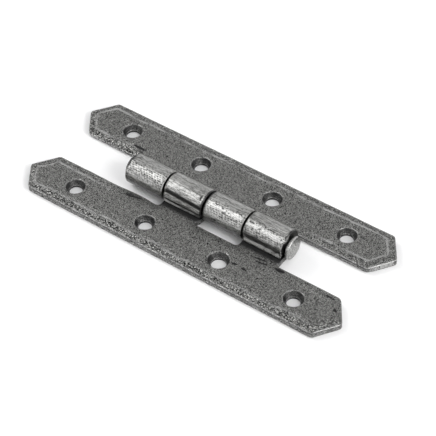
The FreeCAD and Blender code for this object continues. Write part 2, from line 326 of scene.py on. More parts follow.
@dataclass(frozen=True)
class RollMark:
    """A crease that the rolling die left along a knuckle, steep above and gentle below.

    Attributes:
        start: Where it begins along the leaf.
        stop: Where it ends.
        upper: Degrees from the knuckle's top to its upper side, at its start and at its stop.
        lower: The same to its deepest line.
        depth: How deep it is pressed.
        gentle: Width of the gentle side below the deepest line, in degrees.
        soot: How dark its steep side is painted, as shade in the crease.
        shine: How bright its gentle side is rubbed; a mark with no depth uses it only as a painted
            highlight.
        lip: How far the foot of its gentle side stands out of the knuckle.
        early: Degrees above its upper side where it begins to darken.
        end_fade: Half the length over which it starts at its low end and stops at its high end.
        shine_at: Where its gentle side is brightest, as a share of that side.
        shine_reach: Half width of the bright stripe, as a share of that side.
    """

    start: float
    stop: float
    upper: Pair
    lower: Pair
    depth: float
    gentle: float
    soot: float
    shine: float = 0.0
    lip: float = 0.0
    early: float = 2.5
    end_fade: Pair = (0.6, 0.8)
    shine_at: float = 0.6
    shine_reach: float = 0.5

    def press(self, x: np.ndarray, turn: np.ndarray) -> tuple[np.ndarray, np.ndarray, np.ndarray]:
        """Depth, darkness and brightness at points on a knuckle.

        Args:
            x: Points, along the leaf.
            turn: Degrees from the knuckle's top towards the camera's side.

        Returns:
            How far the surface is pressed in, how dark it is painted as shade in the crease, and how
            bright it is rubbed.
        """
        share = np.clip((x - self.start) / (self.stop - self.start), 0.0, 1.0)
        above = between(*self.upper, share)
        line = between(*self.lower, share)
        low, high = min(self.start, self.stop), max(self.start, self.stop)
        fade_in, fade_out = self.end_fade
        ends = smooth_step(low - fade_in, low + fade_in, x)
        ends = ends * smooth_fall(high - fade_out, high + fade_out, x)
        fall = smooth_step(above, line, turn)
        rise = smooth_fall(0.0, self.gentle, turn - line)
        if self.lip:
            rise = 1.0 - np.clip((turn - line) / self.gentle, 0.0, 1.0) ** 2
        # Painted shade on the crease's steep side.
        dark = smooth_step(-self.early, 3.0, turn - above) * smooth_fall(-3.0, 2.5, turn - line)
        bright = bell(turn - line - self.gentle * self.shine_at, self.gentle * self.shine_reach)
        pressed = (self.depth * fall * rise - self.lip * (1.0 - rise)) * ends
        return pressed, self.soot * dark * ends, self.shine * bright * ends


@dataclass
class Sheet:
    """One piece while it is being worked.

    Attributes:
        points: Arrays of x, y and z, in millimetres.
        masks: Values at the points, by mask.
        faces: Point numbers of each face.
        count: How many points there are.
    """

    points: list[np.ndarray] = field(default_factory=list)
    masks: dict[Mask, list[np.ndarray]] = field(default_factory=lambda: {m: [] for m in Mask})
    faces: list[tuple[int, ...]] = field(default_factory=list)
    count: int = 0

    def add(self, points: np.ndarray, **masks: np.ndarray | float) -> np.ndarray:
        """Add points.

        Args:
            points: One row of x, y, z for each.
            **masks: Values by mask name, one a point or one for all.

        Returns:
            The numbers that the new points have.
        """
        made = np.arange(self.count, self.count + len(points))
        self.points.append(np.asarray(points, float))
        for mask in Mask:
            value = masks.get(mask.value, 0.0)
            self.masks[mask].append(np.broadcast_to(np.asarray(value, float), (len(points),)))
        self.count += len(points)
        return made

    def bridge(self, upper: np.ndarray, lower: np.ndarray) -> None:
        """Join two closed rings with quads.

        Args:
            upper: Point numbers of one ring.
            lower: Point numbers of the next, which lies to the right of it when followed.
        """
        for i in range(len(upper)):
            j = (i + 1) % len(upper)
            self.faces.append((int(upper[i]), int(lower[i]), int(lower[j]), int(upper[j])))

    def write(self, name: str) -> bpy.types.Object:
        """Make the mesh object.

        Args:
            name: The piece's name.

        Returns:
            The new object, at the origin, smooth shaded.
        """
        mesh = bpy.data.meshes.new(name)
        everything = np.concatenate(self.points) * MM
        mesh.from_pydata(everything.tolist(), [], self.faces)
        for mask, values in self.masks.items():
            layer = mesh.attributes.new(mask.value, "FLOAT", "POINT")
            layer.data.foreach_set("value", np.concatenate(values).astype(np.float32))
        mesh.validate()
        mesh.shade_smooth()
        mesh.update()
        made = bpy.data.objects.new(name, mesh)
        bpy.context.scene.collection.objects.link(made)
        return made


def rounded_path(corners: Sequence[tuple[float, float, float]], spacing: float) -> np.ndarray:
    """Walk round a closed outline with rounded corners.

    Args:
        corners: (x, y, radius) of each corner, anticlockwise.
        spacing: Distance between points.

    Returns:
        An array of x and y, one row a point.
    """
    count = len(corners)
    nearly_straight = 1e-4
    pieces: list[np.ndarray] = []
    for i, (x, y, radius) in enumerate(corners):
        here = np.array([x, y])
        back = np.array(corners[i - 1][:2]) - here
        ahead = np.array(corners[(i + 1) % count][:2]) - here
        back /= np.linalg.norm(back)
        ahead /= np.linalg.norm(ahead)
        half = math.acos(float(np.clip(back @ ahead, -1.0, 1.0))) / 2.0
        if math.pi / 2.0 - half < nearly_straight:
            pieces.append(here[None, :])
            continue
        trim = radius / math.tan(half)
        centre = here + (back + ahead) / np.linalg.norm(back + ahead) * radius / math.sin(half)
        first = here + back * trim - centre
        sweep = math.pi - 2.0 * half
        if back[0] * ahead[1] - back[1] * ahead[0] > 0.0:
            sweep = -sweep
        steps = max(3, int(abs(sweep) * radius / spacing) + 1)
        turns = np.linspace(0.0, sweep, steps + 1)
        cosines, sines = np.cos(turns), np.sin(turns)
        arc = np.stack(
            [first[0] * cosines - first[1] * sines, first[0] * sines + first[1] * cosines], axis=1
        )
        pieces.append(centre + arc)
    line = np.concatenate(pieces + [pieces[0][:1]])
    steps_along = np.linalg.norm(np.diff(line, axis=0), axis=1)
    reach = np.concatenate([[0.0], np.cumsum(steps_along)])
    marks = np.linspace(0.0, reach[-1], int(reach[-1] / spacing) + 1)[:-1]
    return np.stack([np.interp(marks, reach, line[:, k]) for k in range(2)], axis=1)


def inward_normals(path: np.ndarray) -> np.ndarray:
    """Unit normals that point into an anticlockwise outline.

    Args:
        path: Points of the closed outline.

    Returns:
        One normal a point.
    """
    along = np.roll(path, -1, axis=0) - np.roll(path, 1, axis=0)
    along /= np.linalg.norm(along, axis=1)[:, None]
    return np.stack([-along[:, 1], along[:, 0]], axis=1)


def is_inside(x: float, y: float, loop: np.ndarray) -> bool:
    """True if a point lies inside a closed loop.

    Args:
        x: The point's x.
        y: The point's y.
        loop: Points of the loop.

    Returns:
        Whether a line from the point crosses the loop an odd number of times.
    """
    ahead = np.roll(loop, -1, axis=0)
    spans = (loop[:, 1] > y) != (ahead[:, 1] > y)
    low, high = loop[spans], ahead[spans]
    crossing = low[:, 0] + (y - low[:, 1]) / (high[:, 1] - low[:, 1]) * (high[:, 0] - low[:, 0])
    return int((crossing > x).sum()) % 2 == 1


def hex_points(box: Box, spacing: float) -> np.ndarray:
    """Evenly spread points in a box, on a triangular grid.

    Args:
        box: Lowest x, lowest y, highest x, highest y.
        spacing: Distance between neighbours.

    Returns:
        An array of x and y.
    """
    x0, y0, x1, y1 = box
    rows = np.arange(y0, y1, spacing * math.sqrt(0.75))
    made = []
    for k, y in enumerate(rows):
        xs = np.arange(x0 + (k % 2) * spacing / 2.0, x1, spacing)
        made.append(np.stack([xs, np.full_like(xs, y)], axis=1))
    return np.concatenate(made)


@dataclass(frozen=True)
class Border:
    """The hammered slope round a leaf's face.

    Attributes:
        width: From the outline to the crest where the slope meets the face.
        drop: How much lower the outline is than the face.
        wander: How far the crest strays from its line.
        crest: Height of the burr that the hammer pushed up along it.
        facets: Height of the hammer's marks.
        grit: Height of the coarse grain on the worn stretches.
        band: Where the hammer's marks fade out; 0 is the outline and 1 the crest.
        spill: The same for the grit that runs on over the crest.
        slope: The same for the slope, which starts a little outside the outline.
        slope_left: What that curve has left at the outline, where the drop is whole.
        wander_worn: How far the crest strays on a sound stretch, and what wear adds to it.
        band_hammer: How hammered the band looks, and what wear adds.
        band_soot: How dark the band is, and what grime adds.
        spill_hammer: How hammered the spilt grit looks.
        spill_soot: How dark its grime is.
        spill_grit: How high it stands, as a share of the band's.
        grit_rub: How bright the coarse grain's tops are rubbed.
        burr_reach: Half width of the burr.
        line_reach: Half width of the bright line on it.
        plain_half: Where the border by the barrel passes into the hammered one, from the middle.
        plain: How little was hammered by the barrel.
        wander_waves: How the crest strays.
        mark_waves: How the hammer's marks lie.
        grit_waves: How the coarse grain lies.
        face_waves: How far the flat of the face is from even.
        line_waves: How the bright line comes and goes.
        line_mean: How bright it is in the mean.
        line_ends: X from which it is brighter towards the points, and where it is fully so.
        line_gain: How much brighter.
        arris_rub: How bright the outline itself is rubbed.
        arris_reach: Where that starts to fade, and where it ends.
    """

    width: float = 2.2
    drop: float = 0.3
    wander: float = 0.28
    crest: float = 0.05
    facets: float = 0.03
    grit: float = 0.035
    band: Pair = (0.82, 1.12)
    spill: Pair = (0.9, 2.2)
    slope: Pair = (-0.35, 1.05)
    slope_left: float = 0.86
    wander_worn: Pair = (0.7, 1.1)
    band_hammer: Pair = (0.40, 0.75)
    band_soot: Pair = (0.16, 0.40)
    spill_hammer: float = 0.6
    spill_soot: float = 0.45
    spill_grit: float = 0.55
    grit_rub: float = 0.30
    burr_reach: float = 0.36
    line_reach: float = 0.46
    plain_half: Pair = (23.0, 28.5)
    plain: float = 0.9
    wander_waves: tuple[Layer, ...] = (Layer(7.0), Layer(2.1, 0.45, x=91.0))
    mark_waves: tuple[Layer, ...] = (Layer(1.9, y=53.0), Layer(0.95, 0.6, x=13.0))
    grit_waves: tuple[Layer, ...] = (Layer(0.55, y=17.0), Layer(0.34, 0.7, x=29.0))
    face_waves: tuple[Layer, ...] = (Layer(6.0, 0.022), Layer(1.5, 0.008, y=5.0))
    line_waves: tuple[Layer, ...] = (Layer(3.1, 0.28, x=3.0), Layer(1.1, 0.24, x=7.0))
    line_mean: float = 0.74
    line_ends: Pair = (34.0, 42.0)
    line_gain: float = 0.14
    arris_rub: float = 0.55
    arris_reach: Pair = (0.15, 0.45)


@dataclass(frozen=True)
class KnuckleSkin:
    """What the rolls left on the outside of the knuckles.

    Attributes:
        marks: Depth of the long marks.
        blows: Depth of the broad blows.
        pits: Depth of the pits.
        mark_waves: How the long marks lie.
        blow_wave: How the blows lie.
        pit_wave: How the pits lie.
        pit_start: How high the pits' noise has to be for a pit.
        patch_wave: How the pits come and go.
        patch_mean: How many there are in the mean.
        dots_in: Degrees from the knuckle's top between which the rows of dots begin.
        dots_out: The same where they end.
        sheen: How bright the skin is rubbed, and how much less on the long marks' sides.
        underside: Degrees between which the painted shade on the underside begins.
        stands: The most that the skin stands out, as a negative depth.
        sinks: The most that it is pressed in.
        plain_rub: How hammered the hidden back looks.
        raw_wave: How the line of the raw skin strays, in degrees.
        back_wave: How uneven the hidden back is.
    """

    marks: float = 0.034
    blows: float = 0.03
    pits: float = 0.02
    mark_waves: tuple[Layer, ...] = (Layer(1.5, stretch=5.0), Layer(0.7, 0.5, y=11.0, stretch=6.0))
    blow_wave: tuple[Layer, ...] = (Layer(3.4, x=9.0),)
    pit_wave: tuple[Layer, ...] = (Layer(0.40, y=3.0, stretch=1.2),)
    pit_start: float = 0.30
    patch_wave: tuple[Layer, ...] = (Layer(3.0, y=71.0),)
    patch_mean: float = 0.55
    dots_in: Pair = (8.0, 20.0)
    dots_out: Pair = (58.0, 76.0)
    sheen: Pair = (0.62, 0.4)
    underside: Pair = (82.0, 100.0)
    stands: float = -0.34
    sinks: float = 0.60
    plain_rub: float = 0.2
    raw_wave: tuple[Layer, ...] = (Layer(1.6, 2.5, y=23.0),)
    back_wave: Layer = Layer(4.0, 0.02)


@dataclass(frozen=True)
class Rim:
    """The points of a blank's outline, and what the metal is like at each.

    Attributes:
        path: The points.
        normals: Unit normals that point inwards.
        run: How far along the outline each point is.
        rolled: How much of it belongs to a knuckle, 0 to 1.
        rough: How far it is hammered round.
        bare: How far it is ground bare.
        dark: How much painted shade lies on a knuckle end's rim.
        top_round: Rounding of the face's edge.
        back_round: Rounding of the back's edge.
        top: Height of the face just inside its rounding.
        under: Height of the back just inside its rounding.
        face_masks: The face's masks there.
        noise: How uneven the edge is.
    """

    path: np.ndarray
    normals: np.ndarray
    run: np.ndarray
    rolled: np.ndarray
    rough: np.ndarray
    bare: np.ndarray
    dark: np.ndarray
    top_round: np.ndarray
    back_round: np.ndarray
    top: np.ndarray
    under: np.ndarray
    face_masks: dict[str, np.ndarray]
    noise: Ripple

    def inset(self, amount: np.ndarray) -> np.ndarray:
        """The outline, moved inwards by an amount at each point."""
        return self.path + self.normals * amount[:, None]

    def wave(self, size: float, shift: float = 0.0) -> np.ndarray:
        """Noise along the outline, of the given size in millimetres."""
        return self.noise.at(self.run, self.run * 0.0 + shift, size)


@dataclass
class ForgedLeaf:
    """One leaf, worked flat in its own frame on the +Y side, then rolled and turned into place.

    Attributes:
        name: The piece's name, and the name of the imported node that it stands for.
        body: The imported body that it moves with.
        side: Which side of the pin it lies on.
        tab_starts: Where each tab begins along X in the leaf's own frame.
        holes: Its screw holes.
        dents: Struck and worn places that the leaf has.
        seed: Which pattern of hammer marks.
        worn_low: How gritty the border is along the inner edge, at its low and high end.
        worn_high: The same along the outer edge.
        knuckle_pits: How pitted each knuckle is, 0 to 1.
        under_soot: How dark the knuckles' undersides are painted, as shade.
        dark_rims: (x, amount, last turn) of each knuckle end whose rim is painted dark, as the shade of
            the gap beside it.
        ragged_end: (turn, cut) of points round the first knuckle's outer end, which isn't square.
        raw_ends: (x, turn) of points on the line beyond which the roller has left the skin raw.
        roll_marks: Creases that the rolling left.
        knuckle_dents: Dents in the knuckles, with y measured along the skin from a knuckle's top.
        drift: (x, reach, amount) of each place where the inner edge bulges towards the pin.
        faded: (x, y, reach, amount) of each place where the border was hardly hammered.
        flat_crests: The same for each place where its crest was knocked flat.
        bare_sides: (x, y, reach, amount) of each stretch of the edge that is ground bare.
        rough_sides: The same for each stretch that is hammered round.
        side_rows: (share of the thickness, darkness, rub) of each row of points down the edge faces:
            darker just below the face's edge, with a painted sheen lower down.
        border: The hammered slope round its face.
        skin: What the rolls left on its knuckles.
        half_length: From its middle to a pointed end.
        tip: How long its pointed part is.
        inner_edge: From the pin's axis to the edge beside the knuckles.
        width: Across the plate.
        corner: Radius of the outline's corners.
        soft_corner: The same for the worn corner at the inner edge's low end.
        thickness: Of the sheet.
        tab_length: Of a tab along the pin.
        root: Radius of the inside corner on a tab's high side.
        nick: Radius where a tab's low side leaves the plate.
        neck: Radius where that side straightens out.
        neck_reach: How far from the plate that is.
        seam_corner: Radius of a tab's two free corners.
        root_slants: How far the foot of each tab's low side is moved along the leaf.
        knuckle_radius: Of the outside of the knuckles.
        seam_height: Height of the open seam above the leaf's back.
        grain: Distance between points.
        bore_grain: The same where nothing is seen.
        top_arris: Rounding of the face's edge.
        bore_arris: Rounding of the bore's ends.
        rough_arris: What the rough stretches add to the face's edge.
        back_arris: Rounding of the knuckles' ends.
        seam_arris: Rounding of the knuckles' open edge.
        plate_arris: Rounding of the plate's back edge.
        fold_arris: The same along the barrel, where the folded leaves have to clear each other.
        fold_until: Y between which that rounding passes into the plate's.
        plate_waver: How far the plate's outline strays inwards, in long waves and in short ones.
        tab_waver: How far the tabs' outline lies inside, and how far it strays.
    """

    name: str
    body: str
    side: Side
    tab_starts: Pair
    holes: tuple[ScrewHole, ...]
    dents: tuple[Dent, ...]
    seed: int
    worn_low: Pair
    worn_high: Pair
    knuckle_pits: Pair = (1.0, 1.0)
    under_soot: float = 0.0
    dark_rims: tuple[tuple[float, float, float], ...] = ()
    ragged_end: tuple[Pair, ...] = ()
    raw_ends: tuple[Pair, ...] = ()
    roll_marks: tuple[RollMark, ...] = ()
    knuckle_dents: tuple[Dent, ...] = ()
    drift: tuple[tuple[float, float, float], ...] = ()
    faded: tuple[Spot, ...] = ()
    flat_crests: tuple[Spot, ...] = ()
    bare_sides: tuple[Spot, ...] = ()
    rough_sides: tuple[Spot, ...] = ()
    side_rows: tuple[tuple[float, float, float], ...] = (
        (0.06, 0.15, 0.3), (0.2, 0.45, 0.0), (0.42, 0.3, 0.1), (0.6, 0.0, 0.35), (0.85, 0.0, 0.4),
    )
    border: Border = Border()
    skin: KnuckleSkin = KnuckleSkin()
    half_length: float = 51.0
    tip: float = 4.85
    inner_edge: float = 6.2
    width: float = 14.1
    corner: float = 1.3
    soft_corner: float = 1.3
    thickness: float = 2.2
    tab_length: float = 12.45
    root: float = 1.3
    nick: float = 0.35
    neck: float = 1.5
    neck_reach: float = 2.2
    seam_corner: float = 0.5
    root_slants: Pair = (0.0, 0.0)
    knuckle_radius: float = AXIS_HEIGHT
    seam_height: float = 2.35
    grain: float = 0.22
    bore_grain: float = 0.8
    top_arris: float = 0.20
    bore_arris: float = 0.12
    rough_arris: float = 0.35
    back_arris: float = 0.28
    seam_arris: float = 0.14
    plate_arris: float = 0.22
    fold_arris: float = 0.60
    fold_until: Pair = (6.8, 8.2)
    plate_waver: Pair = (0.04, 0.02)
    tab_waver: Pair = (0.02, 0.05)

    @property
    def tongue(self) -> float:
        """Length of a tab's rolled part, measured on the outside of the knuckle."""
        cut = math.asin((self.seam_height - self.knuckle_radius) / self.knuckle_radius)
        return self.knuckle_radius * (1.5 * math.pi - cut)

    @property
    def outer_edge(self) -> float:
        """Distance from the pin's axis to the leaf's outer edge."""
        return self.inner_edge + self.width

    def outline(self) -> np.ndarray:
        """The flat blank's outline: a pointed plate with two tabs on its inner edge.

        Returns:
            An array of x and y, one row a point, anticlockwise.
        """
        shoulder = self.half_length - self.tip
        low, high = self.inner_edge, self.outer_edge
        middle = (low + high) / 2.0
        corners = [(-shoulder, low, self.soft_corner)]
        for start, slant in zip(self.tab_starts, self.root_slants):
            corners += [
                (start + slant, low, self.nick),
                (start, low - self.neck_reach, self.neck),
                (start, -self.tongue, self.seam_corner),
                (start + self.tab_length, -self.tongue, self.seam_corner),
                (start + self.tab_length, low, self.root),
            ]
        corners += [
            (shoulder, low, self.corner),
            (self.half_length, middle, self.corner),
            (shoulder, high, self.corner),
            (-shoulder, high, self.corner),
            (-self.half_length, middle, self.corner),
        ]
        path = rounded_path(corners, self.grain)
        normals = inward_normals(path)
        stray = Ripple(self.seed + 1)
        plate = smooth_step(low - 1.5, low, path[:, 1])
        slow = 0.5 + 0.5 * stray.at(path[:, 0], path[:, 1], 5.0)
        quick = 0.5 + 0.5 * stray.at(path[:, 0] + 40.0, path[:, 1], 1.3)
        inset = plate * (self.plate_waver[0] * slow + self.plate_waver[1] * quick)
        inset = inset + (1.0 - plate) * (self.tab_waver[0] + self.tab_waver[1] * quick * slow)
        near = bell(path[:, 1] - low, 1.0)
        for x, reach, amount in self.drift:
            inset = inset - near * amount * bell(path[:, 0] - x, reach)
        path = path + normals * inset[:, None]
        at_end = smooth_fall(0.2, 1.6, np.abs(path[:, 0] - self.tab_starts[0]))
        path[:, 0] += at_end * self.cut_back(path[:, 1])
        return path

    def cut_back(self, y: np.ndarray) -> np.ndarray:
        """How far the first knuckle's outer end is cut back.

        Args:
            y: Points along the tab in the flat blank.

        Returns:
            The cut at each point, negative where metal stands out.
        """
        if not self.ragged_end:
            return np.zeros_like(y)
        rolled = smooth_fall(-3.0, -1.0, y)
        return rolled * np.interp(self.turn_at(y), *np.array(self.ragged_end).T)

    def edge_distance(self, x: np.ndarray, y: np.ndarray) -> np.ndarray:
        """Distance to the nearest free edge of the plate, tabs left out.

        Args:
            x: Points, along the leaf.
            y: Points, across the leaf.

        Returns:
            The distances; the side of the edge doesn't matter.
        """
        shoulder = self.half_length - self.tip
        low, high = self.inner_edge, self.outer_edge
        middle = (low + high) / 2.0
        first, second = self.tab_starts
        stops = [-shoulder, first, first + self.tab_length, second, second + self.tab_length, shoulder]
        edges = [((stops[k], low), (stops[k + 1], low)) for k in (0, 2, 4)]
        edges += [
            ((shoulder, low), (self.half_length, middle)),
            ((self.half_length, middle), (shoulder, high)),
            ((shoulder, high), (-shoulder, high)),
            ((-shoulder, high), (-self.half_length, middle)),
            ((-self.half_length, middle), (-shoulder, low)),
        ]
        nearest = np.full(np.shape(x), np.inf)
        for (ax, ay), (bx, by) in edges:
            dx, dy = bx - ax, by - ay
            t = np.clip(((x - ax) * dx + (y - ay) * dy) / (dx * dx + dy * dy), 0.0, 1.0)
            nearest = np.minimum(nearest, np.hypot(x - ax - t * dx, y - ay - t * dy))
        return nearest

    def face(self, x: np.ndarray, y: np.ndarray) -> tuple[np.ndarray, dict[str, np.ndarray]]:
        """Height and masks of the hammered top face, which runs on as the bore of the knuckles.

        Args:
            x: Points, along the leaf.
            y: Points, across the leaf.

        Returns:
            The heights above the back, and the values by mask name.
        """
        edge = self.border
        noise = Ripple(self.seed + 2)
        flat = smooth_step(1.0, 4.5, y)
        distance = self.edge_distance(x, y)
        worn = self.worn(x, y)
        wander = noise.layered(x, y, edge.wander_waves)
        width = edge.width + edge.wander * (edge.wander_worn[0] + edge.wander_worn[1] * worn) * wander
        inside = distance / width
        kept = self.hammered(x, y)
        band = smooth_fall(*edge.band, inside) * kept
        slope = edge.drop * smooth_fall(*edge.slope, inside) / edge.slope_left
        crested = kept.copy()
        for at_x, at_y, reach, amount in self.flat_crests:
            crested *= 1.0 - amount * bell(np.hypot(x - at_x, y - at_y), reach)
        burr = edge.crest * bell(distance - width, edge.burr_reach) * crested
        marks = noise.layered(x, y, edge.mark_waves)
        gritty = noise.layered(x, y, edge.grit_waves)
        spill = smooth_fall(*edge.spill, inside) * worn * kept
        height = self.thickness - slope + burr
        height += band * edge.facets * marks
        height += np.maximum(band * worn, edge.spill_grit * spill) * edge.grit * gritty
        height += noise.layered(x, y, edge.face_waves) * flat
        grimy = np.clip(-gritty, 0.0, 1.0)
        soot = band * (edge.band_soot[0] + edge.band_soot[1] * worn * grimy)
        soot = np.maximum(soot, edge.spill_soot * spill * grimy)
        # Dents are darkened by grime and by painted shade in the hollow.
        for dent in self.dents:
            reach = dent.shape(x, y)
            height -= dent.depth * reach
            soot = np.maximum(soot, dent.soot * smooth_step(0.0, 0.3, reach))
        height = height * flat + self.thickness * (1.0 - flat)
        line = edge.line_mean + noise.layered(x, y, edge.line_waves)
        line += edge.line_gain * smooth_step(*edge.line_ends, np.abs(x))
        rub = bell(distance - width, edge.line_reach) * line * crested
        rub = np.maximum(rub, edge.grit_rub * band * worn * np.clip(gritty * 1.5, 0.0, 1.0))
        rub = np.maximum(rub, smooth_fall(*edge.arris_reach, distance) * edge.arris_rub)
        hammer = band * (edge.band_hammer[0] + edge.band_hammer[1] * worn)
        hammer = np.maximum(hammer, edge.spill_hammer * spill)
        # Painted shade on the face where the knuckles overhang it, and inside the knuckles.
        shade = smooth_fall(self.inner_edge - 1.3, self.inner_edge + 0.3, y)
        return height, {
            "rub": rub * flat,
            "hammer": hammer * flat,
            "soot": np.maximum(soot * flat, shade),
            "barrel": np.zeros_like(x),
        }

    def hammered(self, x: np.ndarray, y: np.ndarray) -> np.ndarray:
        """How much of the hammer's work the border shows at each point.

        Args:
            x: Points, along the leaf.
            y: Points, across the leaf.

        Returns:
            Values from 0 to 1.
        """
        edge = self.border
        inner = smooth_fall(3.0, 5.0, y - self.inner_edge)
        plain = inner * smooth_fall(*edge.plain_half, np.abs(x)) * edge.plain
        for at_x, at_y, reach, amount in self.faded:
            plain = np.maximum(plain, amount * bell(np.hypot(x - at_x, y - at_y), reach))
        return 1.0 - plain

    def worn(self, x: np.ndarray, y: np.ndarray) -> np.ndarray:
        """How gritty the border is at each point.

        Args:
            x: Points, along the leaf.
            y: Points, across the leaf.

        Returns:
            Values from 0 to 1.
        """
        end = smooth_step(-30.0, 30.0, x)
        across = smooth_step(0.35, 0.65, (y - self.inner_edge) / self.width)
        return between(between(*self.worn_low, end), between(*self.worn_high, end), across)

    def turn_at(self, y: np.ndarray) -> np.ndarray:
        """Degrees from the top of the rolled knuckle towards the world's -Y side.

        Args:
            y: Points along a tab in the flat blank.

        Returns:
            The angles, negative on the world's +Y side.
        """
        rolled = np.degrees(-y / self.knuckle_radius)
        return 180.0 - rolled if self.side is Side.BACK else rolled - 180.0

    def back(self, x: np.ndarray, y: np.ndarray) -> tuple[np.ndarray, dict[str, np.ndarray]]:
        """Height and masks of the back, which runs on as the outside of the knuckles.

        Args:
            x: Points, along the leaf.
            y: Points, across the leaf.

        Returns:
            The heights above the flat back, and the values by mask name.
        """
        noise = Ripple(self.seed + 3)
        skin = self.skin
        rolled = smooth_fall(-3.0, 0.0, y)
        turn = self.turn_at(y)
        long_marks = noise.layered(x, y, skin.mark_waves)
        blows = noise.layered(x, y, skin.blow_wave)
        pits = np.clip(noise.layered(x, y, skin.pit_wave) - skin.pit_start, 0.0, 1.0)
        pitted = np.where(x < self.tab_starts[1] - 1.0, *self.knuckle_pits)
        patches = skin.patch_mean + noise.layered(x, y, skin.patch_wave)
        pits *= np.clip(patches, 0.0, 1.0) * pitted
        dotted = smooth_step(*skin.dots_in, turn) * smooth_fall(*skin.dots_out, turn)
        height = skin.marks * (1.0 + long_marks / 1.5) * 0.5
        height = height + skin.blows * (1.0 + blows) * 0.5 + skin.pits * pits
        soot = np.clip(pits * 1.4, 0.0, 1.0)
        rub = np.clip(skin.sheen[0] - skin.sheen[1] * np.abs(long_marks), 0.0, 1.0)
        # Creases are painted dark as shade in them, and marks with no depth only paint a highlight;
        # dents are darkened by grime and by painted shade.
        for mark in self.roll_marks:
            depth, dark, bright = mark.press(x, turn)
            height = height + depth
            soot = np.maximum(soot, dark)
            rub = np.maximum(rub, bright)
        for dent in self.knuckle_dents:
            reach = dent.shape(x, np.radians(turn) * self.knuckle_radius)
            height = height + dent.depth * reach
            soot = np.maximum(soot, dent.soot * smooth_step(0.1, 0.6, reach))
        # Painted shade on the rims of knuckle ends beside a gap.
        for rim, amount, last in self.dark_rims:
            reach = np.abs(x - rim) + 0.10 * blows + 0.6 * smooth_step(-12.0, 8.0, turn - last)
            soot = np.maximum(soot, amount * smooth_fall(0.12, 0.42, reach))
        # Painted shade on the knuckles' undersides.
        soot = np.maximum(soot, self.under_soot * smooth_step(*skin.underside, turn))
        raw = np.zeros_like(x)
        if self.raw_ends:
            line = np.interp(-x, *np.array([(-at, start) for at, start in self.raw_ends]).T)
            ragged = line + noise.layered(x, y, skin.raw_wave)
            raw = smooth_step(-2.0, 5.0, turn - ragged)
        height = np.clip(height, skin.stands, skin.sinks) * rolled
        uneven = skin.back_wave.amount * (1.0 + noise.at(x, y, skin.back_wave.size))
        height += uneven * (1.0 - rolled) * smooth_step(0.0, 2.0, y)
        return height, {
            "rub": rub * rolled * (1.0 - np.clip(soot, 0.0, 1.0)),
            "hammer": rolled * pitted * dotted + (1.0 - rolled) * skin.plain_rub,
            "soot": soot * rolled,
            "barrel": rolled,
            "raw": raw * rolled * (1.0 - np.clip(soot, 0.0, 1.0)),
        }

    @staticmethod
    def reached(spots: Sequence[Spot], x: np.ndarray, y: np.ndarray) -> np.ndarray:
        """How much worn spots of the edge reach points of the outline.

        Args:
            spots: (x, y, reach, amount) of each.
            x: Points, along the leaf.
            y: Points, across the leaf.

        Returns:
            Values from 0 to 1.
        """
        amount_there = np.zeros_like(x)
        for at_x, at_y, reach, amount in spots:
            away = np.hypot(x - at_x, y - at_y) / reach
            amount_there = np.maximum(amount_there, amount * smooth_fall(0.7, 1.1, away))
        return amount_there

    def fill(self, sheet: Sheet, rim: np.ndarray, rings: list[np.ndarray], spread: np.ndarray,
             surface: Callable, upward: bool) -> None:
        """Triangulate one face between its rim and its holes.

        Args:
            sheet: The work so far.
            rim: Point numbers of the outer loop.
            rings: Point numbers of each hole's loop.
            spread: Loose points to take in.
            surface: Gives height and masks at points.
            upward: True if the face looks up in the flat blank.
        """
        height, masks = surface(spread[:, 0], spread[:, 1])
        loose = sheet.add(np.column_stack([spread, height]), **masks)
        order = np.concatenate([rim, *rings, loose])
        everything = np.concatenate(sheet.points)[order][:, :2]
        edges = []
        start = 0
        for loop in [rim, *rings]:
            count = len(loop)
            edges += [(start + k, start + (k + 1) % count) for k in range(count)]
            start += count
        vectors = [Vector(p) for p in everything.tolist()]
        _, _, triangles, sources, _, _ = delaunay_2d_cdt(vectors, edges, [], 0, SAME_PLACE, True)
        origin = [source[0] if source else -1 for source in sources]
        stops = np.cumsum([len(rim)] + [len(ring) for ring in rings])
        loops = np.split(everything[:start], stops[:-1])
        for triangle in triangles:
            numbers = [origin[k] for k in triangle]
            if min(numbers) < 0 or len(set(numbers)) < 3:
                continue
            which = {int(np.searchsorted(stops, k, side="right")) for k in numbers}
            if len(which) == 1 and max(numbers) < start:
                loop = which.pop()
                inside = is_inside(*everything[numbers].mean(axis=0), loops[loop])
                if inside != (loop == 0):
                    continue
            numbers = [int(order[k]) for k in numbers]
            sheet.faces.append(tuple(numbers) if upward else tuple(reversed(numbers)))

    def inner_points(self, spacing: float, margin: float, box: Box,
                     hole_reach: Callable[[ScrewHole], float]) -> np.ndarray:
        """Loose points inside the blank, clear of its outline and of the holes.

        Args:
            spacing: Distance between neighbours.
            margin: How far they stay from the outline.
            box: Where to look.
            hole_reach: How far they stay from a hole's middle.

        Returns:
            An array of x and y.
        """
        points = hex_points(box, spacing)
        x, y = points[:, 0], points[:, 1]
        low, high = self.inner_edge, self.outer_edge
        middle = (low + high) / 2.0
        slope = math.hypot(self.width / 2.0, self.tip)
        tip_room = (self.half_length - np.abs(x)) * (self.width / 2.0) / slope
        tip_room -= np.abs(y - middle) * self.tip / slope
        room = np.minimum(np.minimum(y - low, high - y), tip_room)
        keep = room > margin
        for start, slant in zip(self.tab_starts, self.root_slants):
            tab_room = np.minimum(x - start, start + self.tab_length - x)
            slanted = x - start - slant * smooth_step(low - 2.6, low, y)
            if start == self.tab_starts[0]:
                slanted = slanted - np.maximum(self.cut_back(y), 0.0)
            tab_room = np.minimum(tab_room, slanted)
            tab_room = np.minimum(tab_room, y + self.tongue + self.back_arris - self.seam_arris)
            keep |= (tab_room > margin) & (y < low + 1.2)
        for hole in self.holes:
            keep &= np.hypot(x - hole.x, y - hole.y) > hole_reach(hole)
        return points[keep]

